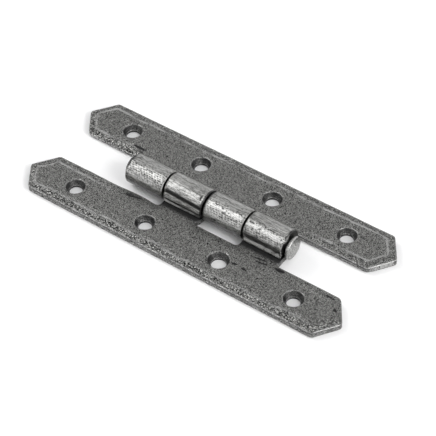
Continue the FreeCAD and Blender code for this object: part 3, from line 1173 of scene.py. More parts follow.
    def rim(self) -> Rim:
        """The blank's outline, and what the metal is like along it.

        Returns:
            The rim, with values for each of its points.
        """
        path = self.outline()
        normals = inward_normals(path)
        x, y = path[:, 0], path[:, 1]
        rolled = smooth_fall(0.0, 3.0, y)
        rough = self.reached(self.rough_sides, x, y)
        dark = np.zeros_like(x)
        # Painted shade on the rims of knuckle ends beside a gap.
        for end, amount, last in self.dark_rims:
            kept = 1.0 - 0.75 * smooth_step(-12.0, 8.0, self.turn_at(y) - last)
            dark = np.maximum(dark, amount * rolled * kept * bell(x - end, 0.45))
        top_round = self.top_arris * (1.0 - rolled) + self.bore_arris * rolled
        top_round = top_round + self.rough_arris * rough * (1.0 - rolled)
        back_round = self.back_rounding(x, y, rolled)
        top, masks = self.face(*(path + normals * top_round[:, None]).T)
        under, _ = self.back(*(path + normals * back_round[:, None]).T)
        steps = np.linalg.norm(np.diff(path, axis=0), axis=1)
        return Rim(
            path, normals, np.concatenate([[0.0], np.cumsum(steps)]), rolled, rough,
            self.reached(self.bare_sides, x, y), dark, top_round, back_round, top, under, masks,
            Ripple(self.seed + 5),
        )

    def face_arris(self, sheet: Sheet, rim: Rim) -> list[np.ndarray]:
        """Round the face's edge.

        Args:
            sheet: The work so far.
            rim: The blank's outline.

        Returns:
            Point numbers of each row, from the face outwards.
        """
        rows = []
        bright = 0.85 + 0.25 * rim.wave(1.1) + 0.5 * rim.bare
        kept = rim.face_masks
        for turn in np.linspace(0.0, math.pi / 2.0, ARRIS_ROWS):
            at = rim.inset(rim.top_round * (1.0 - math.sin(turn)))
            z = rim.top - rim.top_round * (1.0 - math.cos(turn))
            glint = math.sin(min(turn * 2.0, math.pi)) ** 0.5 * bright * (1.0 - rim.rough)
            rows.append(sheet.add(
                np.column_stack([at, z]), barrel=rim.rolled * 0.5,
                rub=np.maximum(kept["rub"], np.maximum(glint, rim.bare * math.sin(turn))),
                hammer=np.maximum(kept["hammer"], rim.rough),
                soot=np.maximum(kept["soot"] * (1.0 - rim.bare), rim.dark),
            ))
        return rows

    def sides(self, sheet: Sheet, rim: Rim) -> list[np.ndarray]:
        """Work the edge faces between the two roundings.

        Args:
            sheet: The work so far.
            rim: The blank's outline.

        Returns:
            Point numbers of each row, from the face's side to the back's.
        """
        rows = []
        upper, lower = rim.top - rim.top_round, rim.under + rim.back_round
        streak = 0.75 + 0.45 * rim.wave(0.45, 3.0)
        patchy = 0.8 + 0.4 * rim.wave(3.0, 9.0)
        plate = (1.0 - rim.rolled) * (1.0 - rim.rough)
        # Painted sheen on the lower rows, and darker rows just below the face's edge.
        for share, dark, sheen in self.side_rows:
            z = upper + (lower - upper) * share
            swell = 0.03 * rim.noise.at(rim.run, z * 3.0 + share * 9.0, 0.8) + 0.03
            rows.append(sheet.add(
                np.column_stack([rim.inset(np.clip(swell, 0.0, 0.1)), z]), barrel=rim.rolled,
                hammer=np.maximum(0.1, rim.rough) * (1.0 - rim.bare),
                soot=np.maximum(dark * (1.0 - rim.bare) * plate * patchy, rim.dark),
                rub=np.maximum(rim.bare, sheen * plate) * streak,
            ))
        return rows

    def back_edge(self, sheet: Sheet, rim: Rim) -> list[np.ndarray]:
        """Round the back's edge, which runs on as the ends of the knuckles.

        Args:
            sheet: The work so far.
            rim: The blank's outline.

        Returns:
            Point numbers of each row, from the edge face inwards.
        """
        rows = []
        glow = rim.rolled * (0.4 + 0.5 * rim.wave(0.9)) * (1.0 - rim.dark)
        for turn in np.linspace(0.0, math.pi / 2.0, ARRIS_ROWS):
            at = rim.inset(rim.back_round * (1.0 - math.cos(turn)))
            z = rim.under + rim.back_round * (1.0 - math.sin(turn))
            rows.append(sheet.add(
                np.column_stack([at, z]), rub=glow * math.sin(turn * 2.0) ** 0.5,
                hammer=0.2 + 0.8 * rim.rough, soot=rim.dark, barrel=rim.rolled,
            ))
        return rows

    def blank(self) -> Sheet:
        """Work the flat blank: face, arris, sides, back and holes, as one closed skin.

        Returns:
            The finished work, still flat.
        """
        sheet = Sheet()
        rim = self.rim()
        rows = self.face_arris(sheet, rim) + self.sides(sheet, rim) + self.back_edge(sheet, rim)
        for above, below in zip(rows, rows[1:]):
            sheet.bridge(above, below)
        top_loops, back_loops = [], []
        for k, hole in enumerate(self.holes):
            first, last = self.bore_hole(sheet, hole, self.seed + 20 + k)
            top_loops.append(first)
            back_loops.append(last)
        margin = self.top_arris + 0.32 + (self.rough_arris if self.rough_sides else 0.0)
        reach, outer, seam = self.half_length, self.outer_edge, -self.tongue
        fine = self.inner_points(
            self.grain, margin, (-reach, 2.0, reach, outer), lambda hole: hole.rim + 0.55
        )
        bore = self.inner_points(self.bore_grain, 0.4, (-reach, seam, reach, 1.9), lambda hole: 0.0)
        self.fill(sheet, rows[0], top_loops, np.concatenate([fine, bore]), self.face, True)
        outside = self.inner_points(
            self.grain, self.back_arris + 0.26, (-reach, seam, reach, 0.6), lambda hole: 0.0
        )
        plain = self.inner_points(
            self.bore_grain, 0.9, (-reach, 1.0, reach, outer), lambda hole: hole.bore + 0.5
        )
        self.fill(sheet, rows[-1], back_loops, np.concatenate([outside, plain]), self.back, False)
        return sheet

    def back_rounding(self, x: np.ndarray, y: np.ndarray, rolled: np.ndarray) -> np.ndarray:
        """How far the back's edge is rounded at points of the outline.

        Args:
            x: Points, along the leaf.
            y: Points, across the leaf.
            rolled: How much each point belongs to a knuckle.

        Returns:
            The rounding's radius at each point.
        """
        seam = smooth_step(0.0, 0.8, y + self.tongue)
        tab_round = between(self.seam_arris, self.back_arris, seam)
        fold_round = self.fold_arris - self.plate_arris
        for place, reach, amount in self.drift:
            fold_round = fold_round + amount * bell(x - place, reach * 0.8)
        plate_round = self.plate_arris + fold_round * smooth_fall(*self.fold_until, y)
        return tab_round * rolled + plate_round * (1.0 - rolled)

    def bore_hole(self, sheet: Sheet, hole: ScrewHole, seed: int) -> tuple[np.ndarray, np.ndarray]:
        """Add the wall of one screw hole.

        Args:
            sheet: The work so far.
            hole: Which hole.
            seed: How its rim strays.

        Returns:
            Point numbers of its top loop and of its loop at the back.
        """
        loops = []
        for radius, depth, rub, dark in hole.profile(self.thickness):
            ring = hole.ring(radius, 0.05 if radius > hole.rim - 0.2 else 0.025, seed)
            top, _ = self.face(ring[:, 0], ring[:, 1])
            under, _ = self.back(ring[:, 0], ring[:, 1])
            share = depth / self.thickness
            z = (top - depth) * (1.0 - share) + under * share
            patchy = 1.0 + 0.35 * Ripple(seed).at(ring[:, 0], ring[:, 1] + depth, 1.1)
            loops.append(sheet.add(
                np.column_stack([ring, z]), rub=rub * patchy, soot=np.clip(dark * patchy, 0.0, 1.0)
            ))
        for above, below in zip(loops, loops[1:]):
            sheet.bridge(below, above)
        return loops[0], loops[-1]

    def roll(self, points: np.ndarray) -> np.ndarray:
        """Bend the tabs round the pin's axis and turn the leaf to its side.

        Args:
            points: The flat blank's points.

        Returns:
            The points in place.
        """
        x, y, z = points.T
        radius = self.knuckle_radius
        angle = np.clip(-y, 0.0, None) / radius
        reach = radius - z
        bent_y = np.where(y < 0.0, -reach * np.sin(angle), y)
        bent_z = np.where(y < 0.0, radius - reach * np.cos(angle), z)
        sign = math.cos(math.radians(self.side.value))
        return np.column_stack([x * sign, bent_y * sign, bent_z])

    def build(self, finish: "SteelFinish") -> bpy.types.Object:
        """Make the leaf and dress it.

        Args:
            finish: The leaf's finish.

        Returns:
            The finished piece.
        """
        sheet = self.blank()
        sheet.points = [self.roll(np.concatenate(sheet.points))]
        piece = sheet.write(self.name + "_forged")
        piece.data.materials.append(finish.material())
        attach(piece, self.body)
        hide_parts(self.name)
        LOG.info("%s: %d points, %d faces", piece.name, sheet.count, len(sheet.faces))
        return piece


@dataclass
class HeadedPin:
    """The pin: a plain shank with a hand-set head at one end and a riveted tail at the other.

    Attributes:
        name: The piece's name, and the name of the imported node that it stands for.
        body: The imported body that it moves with.
        axis_height: Of the shank's axis above the floor.
        shank: Radius of the shank.
        tail_end: X of the tail's crown.
        tail_rim: X where the tail's crown meets its side.
        barrel_start: X of the first knuckle's outer end.
        head_start: X where the head begins.
        head_rim: X where the head's side meets its dome.
        head_end: X of the dome's top.
        head_radius: Of the head.
        head_height: Of the head's middle above the floor, as it isn't set quite true.
        tail_radius: Of the tail.
        tail_height: Of the tail's middle above the floor.
        steps: Points round it.
        seed: Which pattern of blows.
        blow_size: Millimetres from one blow to the next.
        out_of_round: How much the blows take off the rims, as a share of the radius.
        blow_depth: How uneven they leave the dome and the crown.
    """

    name: str = "hinge_pin"
    body: str = "back"
    axis_height: float = AXIS_HEIGHT
    shank: float = 2.0
    tail_end: float = -25.73
    tail_rim: float = -25.43
    barrel_start: float = -24.93
    head_start: float = 26.67
    head_rim: float = 27.42
    head_end: float = 27.82
    head_radius: float = 3.4
    head_height: float = 3.76
    tail_radius: float = 3.26
    tail_height: float = 4.66
    steps: int = 96
    seed: int = 71
    blow_size: float = 1.5
    out_of_round: float = 0.018
    blow_depth: float = 0.05

    def stations(self) -> list[tuple[float, float, float, float, float]]:
        """X, radius, height, rub and darkness of each ring, from the tail's crown to the head's.

        Returns:
            One (x, radius, height of the middle, rub, darkness) for each ring, where the darkness is
            painted shade.
        """
        rings: list[tuple[float, float, float, float, float]] = []
        crown = self.tail_rim - self.tail_end
        for share in np.linspace(0.06, 0.9, 9):
            x = self.tail_end + crown * share ** 2
            rings.append((x, self.tail_radius * share, self.tail_height, 0.3, 0.0))
        # The tail's side, the shank and the head's inner side are painted dark as the shade in the gaps
        # beside the knuckles.
        tail_side = self.tail_radius - 0.005
        tail_back = self.barrel_start - 0.02
        rings += [
            (self.tail_rim - 0.02, self.tail_radius - 0.06, self.tail_height, 0.3, 0.6),
            (self.tail_rim + 0.10, tail_side, self.tail_height, 0.0, 0.9),
            (tail_back - 0.06, tail_side, self.tail_height, 0.0, 1.0),
            (tail_back, self.tail_radius - 0.08, self.tail_height, 0.0, 0.9),
            (tail_back, self.shank + 0.3, self.axis_height, 0.0, 1.0),
            (tail_back, self.shank, self.axis_height, 0.0, 1.0),
        ]
        for x in np.linspace(self.barrel_start + 0.5, self.head_start - 0.3, 60):
            rings.append((x, self.shank, self.axis_height, 0.0, 1.0))
        rings += [
            (self.head_start, self.shank, self.axis_height, 0.0, 1.0),
            (self.head_start, self.shank + 0.3, self.axis_height, 0.0, 1.0),
            (self.head_start + 0.01, self.head_radius - 0.28, self.head_height, 0.0, 0.8),
            (self.head_start + 0.10, self.head_radius - 0.08, self.head_height, 0.0, 0.8),
            (self.head_start + 0.24, self.head_radius - 0.01, self.head_height, 0.3, 0.3),
            (self.head_rim - 0.25, self.head_radius, self.head_height, 0.6, 0.0),
            (self.head_rim - 0.05, self.head_radius - 0.06, self.head_height, 0.9, 0.0),
            (self.head_rim + 0.09, self.head_radius - 0.20, self.head_height, 0.9, 0.0),
        ]
        dome_start = self.head_rim + 0.13
        for share in np.linspace(0.88, 0.05, 14):
            x = dome_start + (self.head_end - dome_start) * (1.0 - share ** 2)
            rings.append((x, self.head_radius * share, self.head_height, 0.45, 0.0))
        return rings

    def build(self, finish: "SteelFinish") -> bpy.types.Object:
        """Make the pin and dress it.

        Args:
            finish: The pin's finish.

        Returns:
            The finished piece.
        """
        sheet = Sheet()
        noise = Ripple(self.seed)
        turn = np.linspace(0.0, 2.0 * math.pi, self.steps, endpoint=False)
        loops = []
        for x, radius, height, rub, soot in self.stations():
            across, up = radius * np.cos(turn), radius * np.sin(turn)
            if x > self.head_start + 0.05 or x < self.barrel_start - 0.05:
                blows = noise.at(across, up + x, self.blow_size)
                edge = min(radius / self.head_radius, 1.0) ** 6
                worked = 1.0 - self.out_of_round * edge * (1.0 + blows)
                across, up = across * worked, up * worked
                x = x + math.copysign(self.blow_depth, x) * blows * (1.0 - edge)
            at_x = np.clip(x, self.tail_end, self.head_end) * np.ones(self.steps)
            points = np.column_stack([at_x, across, height + up])
            loops.append(sheet.add(points, rub=rub, soot=soot, hammer=0.3))
        for near, far in zip(loops, loops[1:]):
            sheet.bridge(far, near)
        tail = sheet.add(np.array([[self.tail_end, 0.0, self.tail_height]]), rub=0.3)
        head = sheet.add(np.array([[self.head_end - 0.01, 0.0, self.head_height]]), rub=0.45)
        for i in range(self.steps):
            j = (i + 1) % self.steps
            sheet.faces.append((int(loops[0][i]), int(tail[0]), int(loops[0][j])))
            sheet.faces.append((int(loops[-1][j]), int(head[0]), int(loops[-1][i])))
        piece = sheet.write(self.name + "_turned")
        piece.data.materials.append(finish.material())
        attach(piece, self.body)
        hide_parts(self.name)
        LOG.info("%s: %d points, %d faces", piece.name, sheet.count, len(sheet.faces))
        return piece


class Weave:
    """A short way to lay and join nodes in one tree."""

    def __init__(self, tree: bpy.types.NodeTree) -> None:
        """Keep the tree."""
        self.tree = tree

    def node(self, kind: str, values: Optional[dict] = None, **settings: object) -> bpy.types.Node:
        """Add a node.

        Args:
            kind: Its type, without the ShaderNode prefix.
            values: Plain values for its input sockets, by name or number.
            **settings: Its own settings.

        Returns:
            The new node.
        """
        made = self.tree.nodes.new("ShaderNode" + kind)
        for key, value in settings.items():
            setattr(made, key, value)
        for key, value in (values or {}).items():
            made.inputs[key].default_value = value
        return made

    def group(self, make: Callable[[], bpy.types.NodeTree], values: Optional[dict] = None
              ) -> bpy.types.Node:
        """Place a shader node group, which is made the first time that it is asked for.

        Args:
            make: The function that makes it, which has the group's name.
            values: Plain values for its inputs, by name.

        Returns:
            The new group node.
        """
        tree = bpy.data.node_groups.get(make.__name__) or make()
        return self.node("Group", values, node_tree=tree)

    def join(self, source: bpy.types.NodeSocket, target: bpy.types.NodeSocket) -> None:
        """Link two sockets."""
        self.tree.links.new(source, target)

    def feed(self, value: object, target: bpy.types.NodeSocket) -> None:
        """Give an input its value.

        Args:
            value: A socket to link, or a plain value.
            target: The input.
        """
        if isinstance(value, bpy.types.NodeSocket):
            self.join(value, target)
        else:
            target.default_value = value

    def math(self, operation: str, first: object, second: object) -> bpy.types.NodeSocket:
        """Add a math node.

        Args:
            operation: Its operation.
            first: A socket or a number.
            second: A socket or a number.

        Returns:
            Its output socket.
        """
        made = self.node("Math", operation=operation)
        self.feed(first, made.inputs[0])
        self.feed(second, made.inputs[1])
        return made.outputs[0]

    def spread(self, value: bpy.types.NodeSocket, low: float, high: float, to_low: float,
               to_high: float) -> bpy.types.NodeSocket:
        """Map a range of values onto another, clamped and eased.

        Args:
            value: What to map.
            low: Value that gives to_low.
            high: Value that gives to_high.
            to_low: First result.
            to_high: Second result.

        Returns:
            The mapped socket.
        """
        made = self.node(
            "MapRange",
            {"From Min": low, "From Max": high, "To Min": to_low, "To Max": to_high},
            interpolation_type="SMOOTHSTEP",
        )
        self.join(value, made.inputs["Value"])
        return made.outputs["Result"]

    def blend(self, share: bpy.types.NodeSocket, first: object, second: object
              ) -> bpy.types.NodeSocket:
        """Blend two colours.

        Args:
            share: How much of the second.
            first: A colour or a socket.
            second: A colour or a socket.

        Returns:
            The blended colour.
        """
        made = self.node("Mix", data_type="RGBA")
        self.join(share, made.inputs["Factor"])
        for name, value in (("A", first), ("B", second)):
            self.feed(value, next(s for s in made.inputs if s.name == name and s.type == "RGBA"))
        return next(s for s in made.outputs if s.type == "RGBA")

    def mask(self, mask: Mask) -> bpy.types.NodeSocket:
        """Read one of the mesh's masks."""
        return self.node("Attribute", attribute_name=mask.value).outputs["Fac"]


def new_group(name: str, inputs: dict[str, float], outputs: Sequence[str]
              ) -> tuple[Weave, bpy.types.bpy_prop_collection, bpy.types.bpy_prop_collection]:
    """Start a shader node group of plain values.

    Args:
        name: The group's name.
        inputs: First value, by input name.
        outputs: Names of the outputs.

    Returns:
        A weave for the group, the sockets of its input node and those of its output node.
    """
    tree = bpy.data.node_groups.new(name, "ShaderNodeTree")
    for label, value in inputs.items():
        socket = tree.interface.new_socket(label, in_out="INPUT", socket_type="NodeSocketFloat")
        socket.default_value = value
    for label in outputs:
        tree.interface.new_socket(label, in_out="OUTPUT", socket_type="NodeSocketFloat")
    start = tree.nodes.new("NodeGroupInput")
    end = tree.nodes.new("NodeGroupOutput")
    return Weave(tree), start.outputs, end.inputs


def steel_grain() -> bpy.types.NodeTree:
    """The group that gives the fine grain of tumbled steel: a height and a mottle.

    Returns:
        The group's tree.
    """
    values = {"Fine": 6200.0, "Coarse": 2400.0, "Along": 1.0}
    fine_share = 0.86
    weave, start, end = new_group("steel_grain", values, ("Height", "Mottle"))
    squeeze = weave.node("CombineXYZ", {1: 1.0, 2: 1.0})
    weave.join(start["Along"], squeeze.inputs[0])
    scaled = weave.node("VectorMath", operation="MULTIPLY")
    weave.join(weave.node("TexCoord").outputs["Object"], scaled.inputs[0])
    weave.join(squeeze.outputs[0], scaled.inputs[1])
    fine = weave.node("TexNoise", {"Detail": 3.0, "Roughness": 0.6})
    coarse = weave.node("TexNoise", {"Detail": 2.0, "Roughness": 0.55})
    for noise, scale in ((fine, "Fine"), (coarse, "Coarse")):
        weave.join(scaled.outputs[0], noise.inputs["Vector"])
        weave.join(start[scale], noise.inputs["Scale"])
    height = weave.math("ADD", weave.math("MULTIPLY", fine.outputs["Fac"], fine_share),
                        weave.math("MULTIPLY", coarse.outputs["Fac"], 1.0 - fine_share))
    weave.join(height, end["Height"])
    weave.join(weave.spread(height, 0.40, 0.60, 0.0, 1.0), end["Mottle"])
    return weave.tree


def tumbled_pits() -> bpy.types.NodeTree:
    """The group that gives the pits that other parts knocked in: a tone and a height.

    Returns:
        The group's tree.
    """
    weave, start, end = new_group("tumbled_pits", {"Amount": 0.0, "Scale": 2600.0}, ("Tone", "Height"))
    knocks = weave.node("TexNoise", {"Detail": 1.0, "Roughness": 0.5})
    weave.join(weave.node("TexCoord").outputs["Object"], knocks.inputs["Vector"])
    weave.join(start["Scale"], knocks.inputs["Scale"])
    level = knocks.outputs["Fac"]
    dark = weave.spread(level, 0.36, 0.45, 0.95, 0.0)
    light = weave.spread(level, 0.52, 0.65, 0.0, 2.1)
    change = weave.math("MULTIPLY", weave.math("SUBTRACT", light, dark), start["Amount"])
    weave.join(weave.math("ADD", change, 1.0), end["Tone"])
    deep = weave.spread(level, 0.34, 0.50, -1.2, 0.0)
    weave.join(weave.math("MULTIPLY", deep, start["Amount"]), end["Height"])
    return weave.tree


def rolled_dots() -> bpy.types.NodeTree:
    """The group that gives the rows of small dents that the rolls left round a barrel: a tone.

    Returns:
        The group's tree.
    """
    values = {
        "Amount": 0.0, "Axis Height": AXIS_HEIGHT * MM, "Pitch": 0.92 * MM, "Row": 0.56 * MM,
        "Lean": 0.35, "Deep": 1.50, "Light": 1.36,
    }
    weave, start, end = new_group("rolled_dots", values, ("Tone",))
    place = weave.node("SeparateXYZ")
    weave.join(weave.node("TexCoord").outputs["Object"], place.inputs[0])
    up = weave.math("SUBTRACT", place.outputs["Z"], start["Axis Height"])
    turn = weave.math("ARCTAN2", place.outputs["Y"], up)
    row = weave.math("DIVIDE", weave.math("MULTIPLY", turn, start["Axis Height"]), start["Row"])
    along = weave.math("DIVIDE", place.outputs["X"], start["Pitch"])
    cell = weave.node("CombineXYZ")
    leaning = weave.math("MULTIPLY", row, start["Lean"])
    weave.join(weave.math("ADD", along, leaning), cell.inputs["X"])
    weave.join(row, cell.inputs["Y"])
    dots = weave.node("TexVoronoi", {"Scale": 1.0, "Randomness": 0.40}, voronoi_dimensions="2D")
    weave.join(cell.outputs["Vector"], dots.inputs["Vector"])
    dark = weave.spread(dots.outputs["Distance"], 0.14, 0.50, 1.0, 0.0)
    full = weave.math("SUBTRACT", start["Light"], weave.math("MULTIPLY", dark, start["Deep"]))
    change = weave.math("MULTIPLY", weave.math("SUBTRACT", full, 1.0), start["Amount"])
    weave.join(weave.math("ADD", change, 1.0), end["Tone"])
    return weave.tree


def worn_high_spots() -> bpy.types.NodeTree:
    """The group that breaks a rubbed mask up by the grain, so that only high spots shine.

    Returns:
        The group's tree.
    """
    weave, start, end = new_group("worn_high_spots", {"Rub": 0.0, "Grain": 0.5, "Bite": 0.6}, ("Shine",))
    bitten = weave.math("MULTIPLY", weave.math("SUBTRACT", start["Grain"], 0.5), start["Bite"])
    total = weave.math("ADD", start["Rub"], bitten)
    weave.join(weave.spread(total, 0.25, 0.85, 0.0, 1.0), end["Shine"])
    return weave.tree


@dataclass(frozen=True)
class SteelFinish:
    """Dark tumbled steel, rubbed bright on its high spots.

    Attributes:
        name: The material's name.
        slot: The material slot that it stands for; not used.
        patina: Colour of the dark grey film.
        bare: Colour where it is rubbed.
        soot: Colour of grime in hollows and of painted shade.
        rough: Roughness of the film.
        polished: Roughness where it is rubbed.
        barrel: Colour of the film on rolled metal, which the roller has burnished.
        bump: Height of the grain, in metres.
        raw_rough: Roughness where rolled metal is raw.
        raw_share: How bare raw metal is.
        mottle: How bright the film's darkest and palest specks are.
        streaks: The same for the streaks on rolled metal.
        streak_stretch: Width of a streak as a share of its length.
        streak_fine: Scale of the streaks' fine noise.
        streak_coarse: Scale of their coarse noise.
        shine_share: How bare fully rubbed metal is.
        soot_share: How black the grime and the painted shade are at their darkest.
        burnish: How smooth rolled metal is, where rubbed metal is 1.
    """

    name: str
    slot: str
    patina: Colour = (0.160, 0.160, 0.155, 1.0)
    bare: Colour = (0.56, 0.56, 0.55, 1.0)
    soot: Colour = (0.035, 0.035, 0.036, 1.0)
    barrel: Colour = (0.29, 0.29, 0.28, 1.0)
    rough: float = 0.52
    polished: float = 0.26
    bump: float = 0.00006
    raw_rough: float = 0.92
    raw_share: float = 0.8
    mottle: Pair = (0.0, 2.50)
    streaks: Pair = (0.40, 1.62)
    streak_stretch: float = 0.14
    streak_fine: float = 3600.0
    streak_coarse: float = 1500.0
    shine_share: float = 0.85
    soot_share: float = 0.95
    burnish: float = 0.85

    def material(self) -> bpy.types.Material:
        """The finish as a material, made once.

        Returns:
            The material.
        """
        made = bpy.data.materials.get(self.name)
        if made:
            return made
        made = bpy.data.materials.new(self.name)
        made.use_nodes = True
        made.node_tree.nodes.clear()
        weave = Weave(made.node_tree)
        grain = weave.group(steel_grain)
        pits = weave.group(tumbled_pits)
        worn = weave.group(worn_high_spots)
        barrel = weave.mask(Mask.BARREL)
        raw = weave.mask(Mask.RAW)
        weave.join(weave.mask(Mask.RUB), worn.inputs["Rub"])
        weave.join(grain.outputs["Mottle"], worn.inputs["Grain"])
        shine = worn.outputs["Shine"]
        film = self.film(weave, grain, pits, barrel)
        shader = weave.node("BsdfPrincipled", {"Metallic": 1.0})
        weave.join(self.colour(weave, film, shine, raw), shader.inputs["Base Color"])
        weave.join(self.roughness(weave, shine, barrel, raw), shader.inputs["Roughness"])
        relief = weave.math("ADD", grain.outputs["Height"], pits.outputs["Height"])
        bump = weave.node("Bump", {"Strength": 1.0, "Distance": self.bump})
        weave.join(relief, bump.inputs["Height"])
        weave.join(bump.outputs["Normal"], shader.inputs["Normal"])
        out = weave.node("OutputMaterial")
        weave.join(shader.outputs["BSDF"], out.inputs["Surface"])
        return made

    def film(self, weave: Weave, grain: bpy.types.Node, pits: bpy.types.Node,
             barrel: bpy.types.NodeSocket) -> bpy.types.NodeSocket:
        """Colour of the film, with its specks, streaks, pits and dots.

        Args:
            weave: The material's tree.
            grain: The grain group.
            pits: The pits group.
            barrel: The mask of rolled metal.

        Returns:
            The colour's socket.
        """
        streaks = weave.group(steel_grain, {
            "Along": self.streak_stretch, "Fine": self.streak_fine, "Coarse": self.streak_coarse,
        })
        dots = weave.group(rolled_dots)
        hammer = weave.mask(Mask.HAMMER)
        on_barrel = weave.math("MULTIPLY", hammer, barrel)
        weave.join(weave.math("SUBTRACT", hammer, on_barrel), pits.inputs["Amount"])
        weave.join(on_barrel, dots.inputs["Amount"])
        mottled = weave.spread(grain.outputs["Mottle"], 0.0, 1.0, *self.mottle)
        streaked = weave.spread(streaks.outputs["Mottle"], 0.0, 1.0, *self.streaks)
        tone = weave.node("Mix", data_type="FLOAT")
        weave.join(barrel, tone.inputs["Factor"])
        weave.join(mottled, tone.inputs["A"])
        weave.join(streaked, tone.inputs["B"])
        pitted = weave.math("MULTIPLY", tone.outputs["Result"], pits.outputs["Tone"])
        pitted = weave.math("MULTIPLY", pitted, dots.outputs["Tone"])
        toned = weave.node("VectorMath", operation="SCALE")
        weave.join(weave.blend(barrel, self.patina, self.barrel), toned.inputs[0])
        weave.join(pitted, toned.inputs["Scale"])
        return toned.outputs[0]

    def colour(self, weave: Weave, film: bpy.types.NodeSocket, shine: bpy.types.NodeSocket,
               raw: bpy.types.NodeSocket) -> bpy.types.NodeSocket:
        """Colour of the metal: the film, bare where it is rubbed or raw, and darkened by grime and
        painted shade.

        Args:
            weave: The material's tree.
            film: The film's colour.
            shine: How far each spot is rubbed.
            raw: The mask of raw metal.

        Returns:
            The colour's socket.
        """
        rubbed = weave.math("MULTIPLY", shine, self.shine_share)
        bright = weave.blend(rubbed, film, self.bare)
        bright = weave.blend(weave.math("MULTIPLY", raw, self.raw_share), bright, self.bare)
        # Darkened by grime in hollows and by painted shade.
        soot = weave.math("MULTIPLY", weave.mask(Mask.SOOT), self.soot_share)
        return weave.blend(soot, bright, self.soot)

    def roughness(self, weave: Weave, shine: bpy.types.NodeSocket, barrel: bpy.types.NodeSocket,
                  raw: bpy.types.NodeSocket) -> bpy.types.NodeSocket:
        """Roughness of the metal.

        Args:
            weave: The material's tree.
            shine: How far each spot is rubbed.
            barrel: The mask of rolled metal.
            raw: The mask of raw metal.

        Returns:
            The roughness's socket.
        """
        burnished = weave.math("MULTIPLY", barrel, self.burnish)
        smoothness = weave.math("MAXIMUM", shine, burnished)
        smooth = weave.spread(smoothness, 0.0, 1.0, self.rough, self.polished)
        coarsened = weave.math("MULTIPLY", weave.math("SUBTRACT", self.raw_rough, smooth), raw)
        return weave.math("ADD", smooth, coarsened)


@dataclass(frozen=True)
class SoftLamp:
    """One area lamp that faces the hinge.

    Attributes:
        name: Its name.
        towards: Its direction from the hinge.
        distance: Metres from the hinge.
        size: Its width and depth, in metres.
        radiance: How bright its face is, where a white floor in full light is 1.
        use: What it is for.
    """

    name: str
    towards: tuple[float, float, float]
    distance: float
    size: Pair
    radiance: float
    use: LampUse = LampUse.ALL

    def hang(self) -> None:
        """Hang the lamp."""
        light = bpy.data.lights.new(self.name, "AREA")
        light.shape = "RECTANGLE"
        light.size, light.size_y = self.size
        light.energy = self.radiance * math.pi * self.size[0] * self.size[1]
        hung = bpy.data.objects.new(self.name, light)
        out = Vector(self.towards).normalized()
        along = Vector((1.0, 0.0, 0.0))
        side = (along - out * along.dot(out)).normalized()
        place = Matrix((side, out.cross(side), out)).transposed().to_4x4()
        hung.matrix_world = Matrix.Translation(out * self.distance) @ place
        hung.visible_diffuse = self.use is not LampUse.HIGHLIGHT
        hung.visible_glossy = self.use is not LampUse.FLOOR
        bpy.context.scene.collection.objects.link(hung)


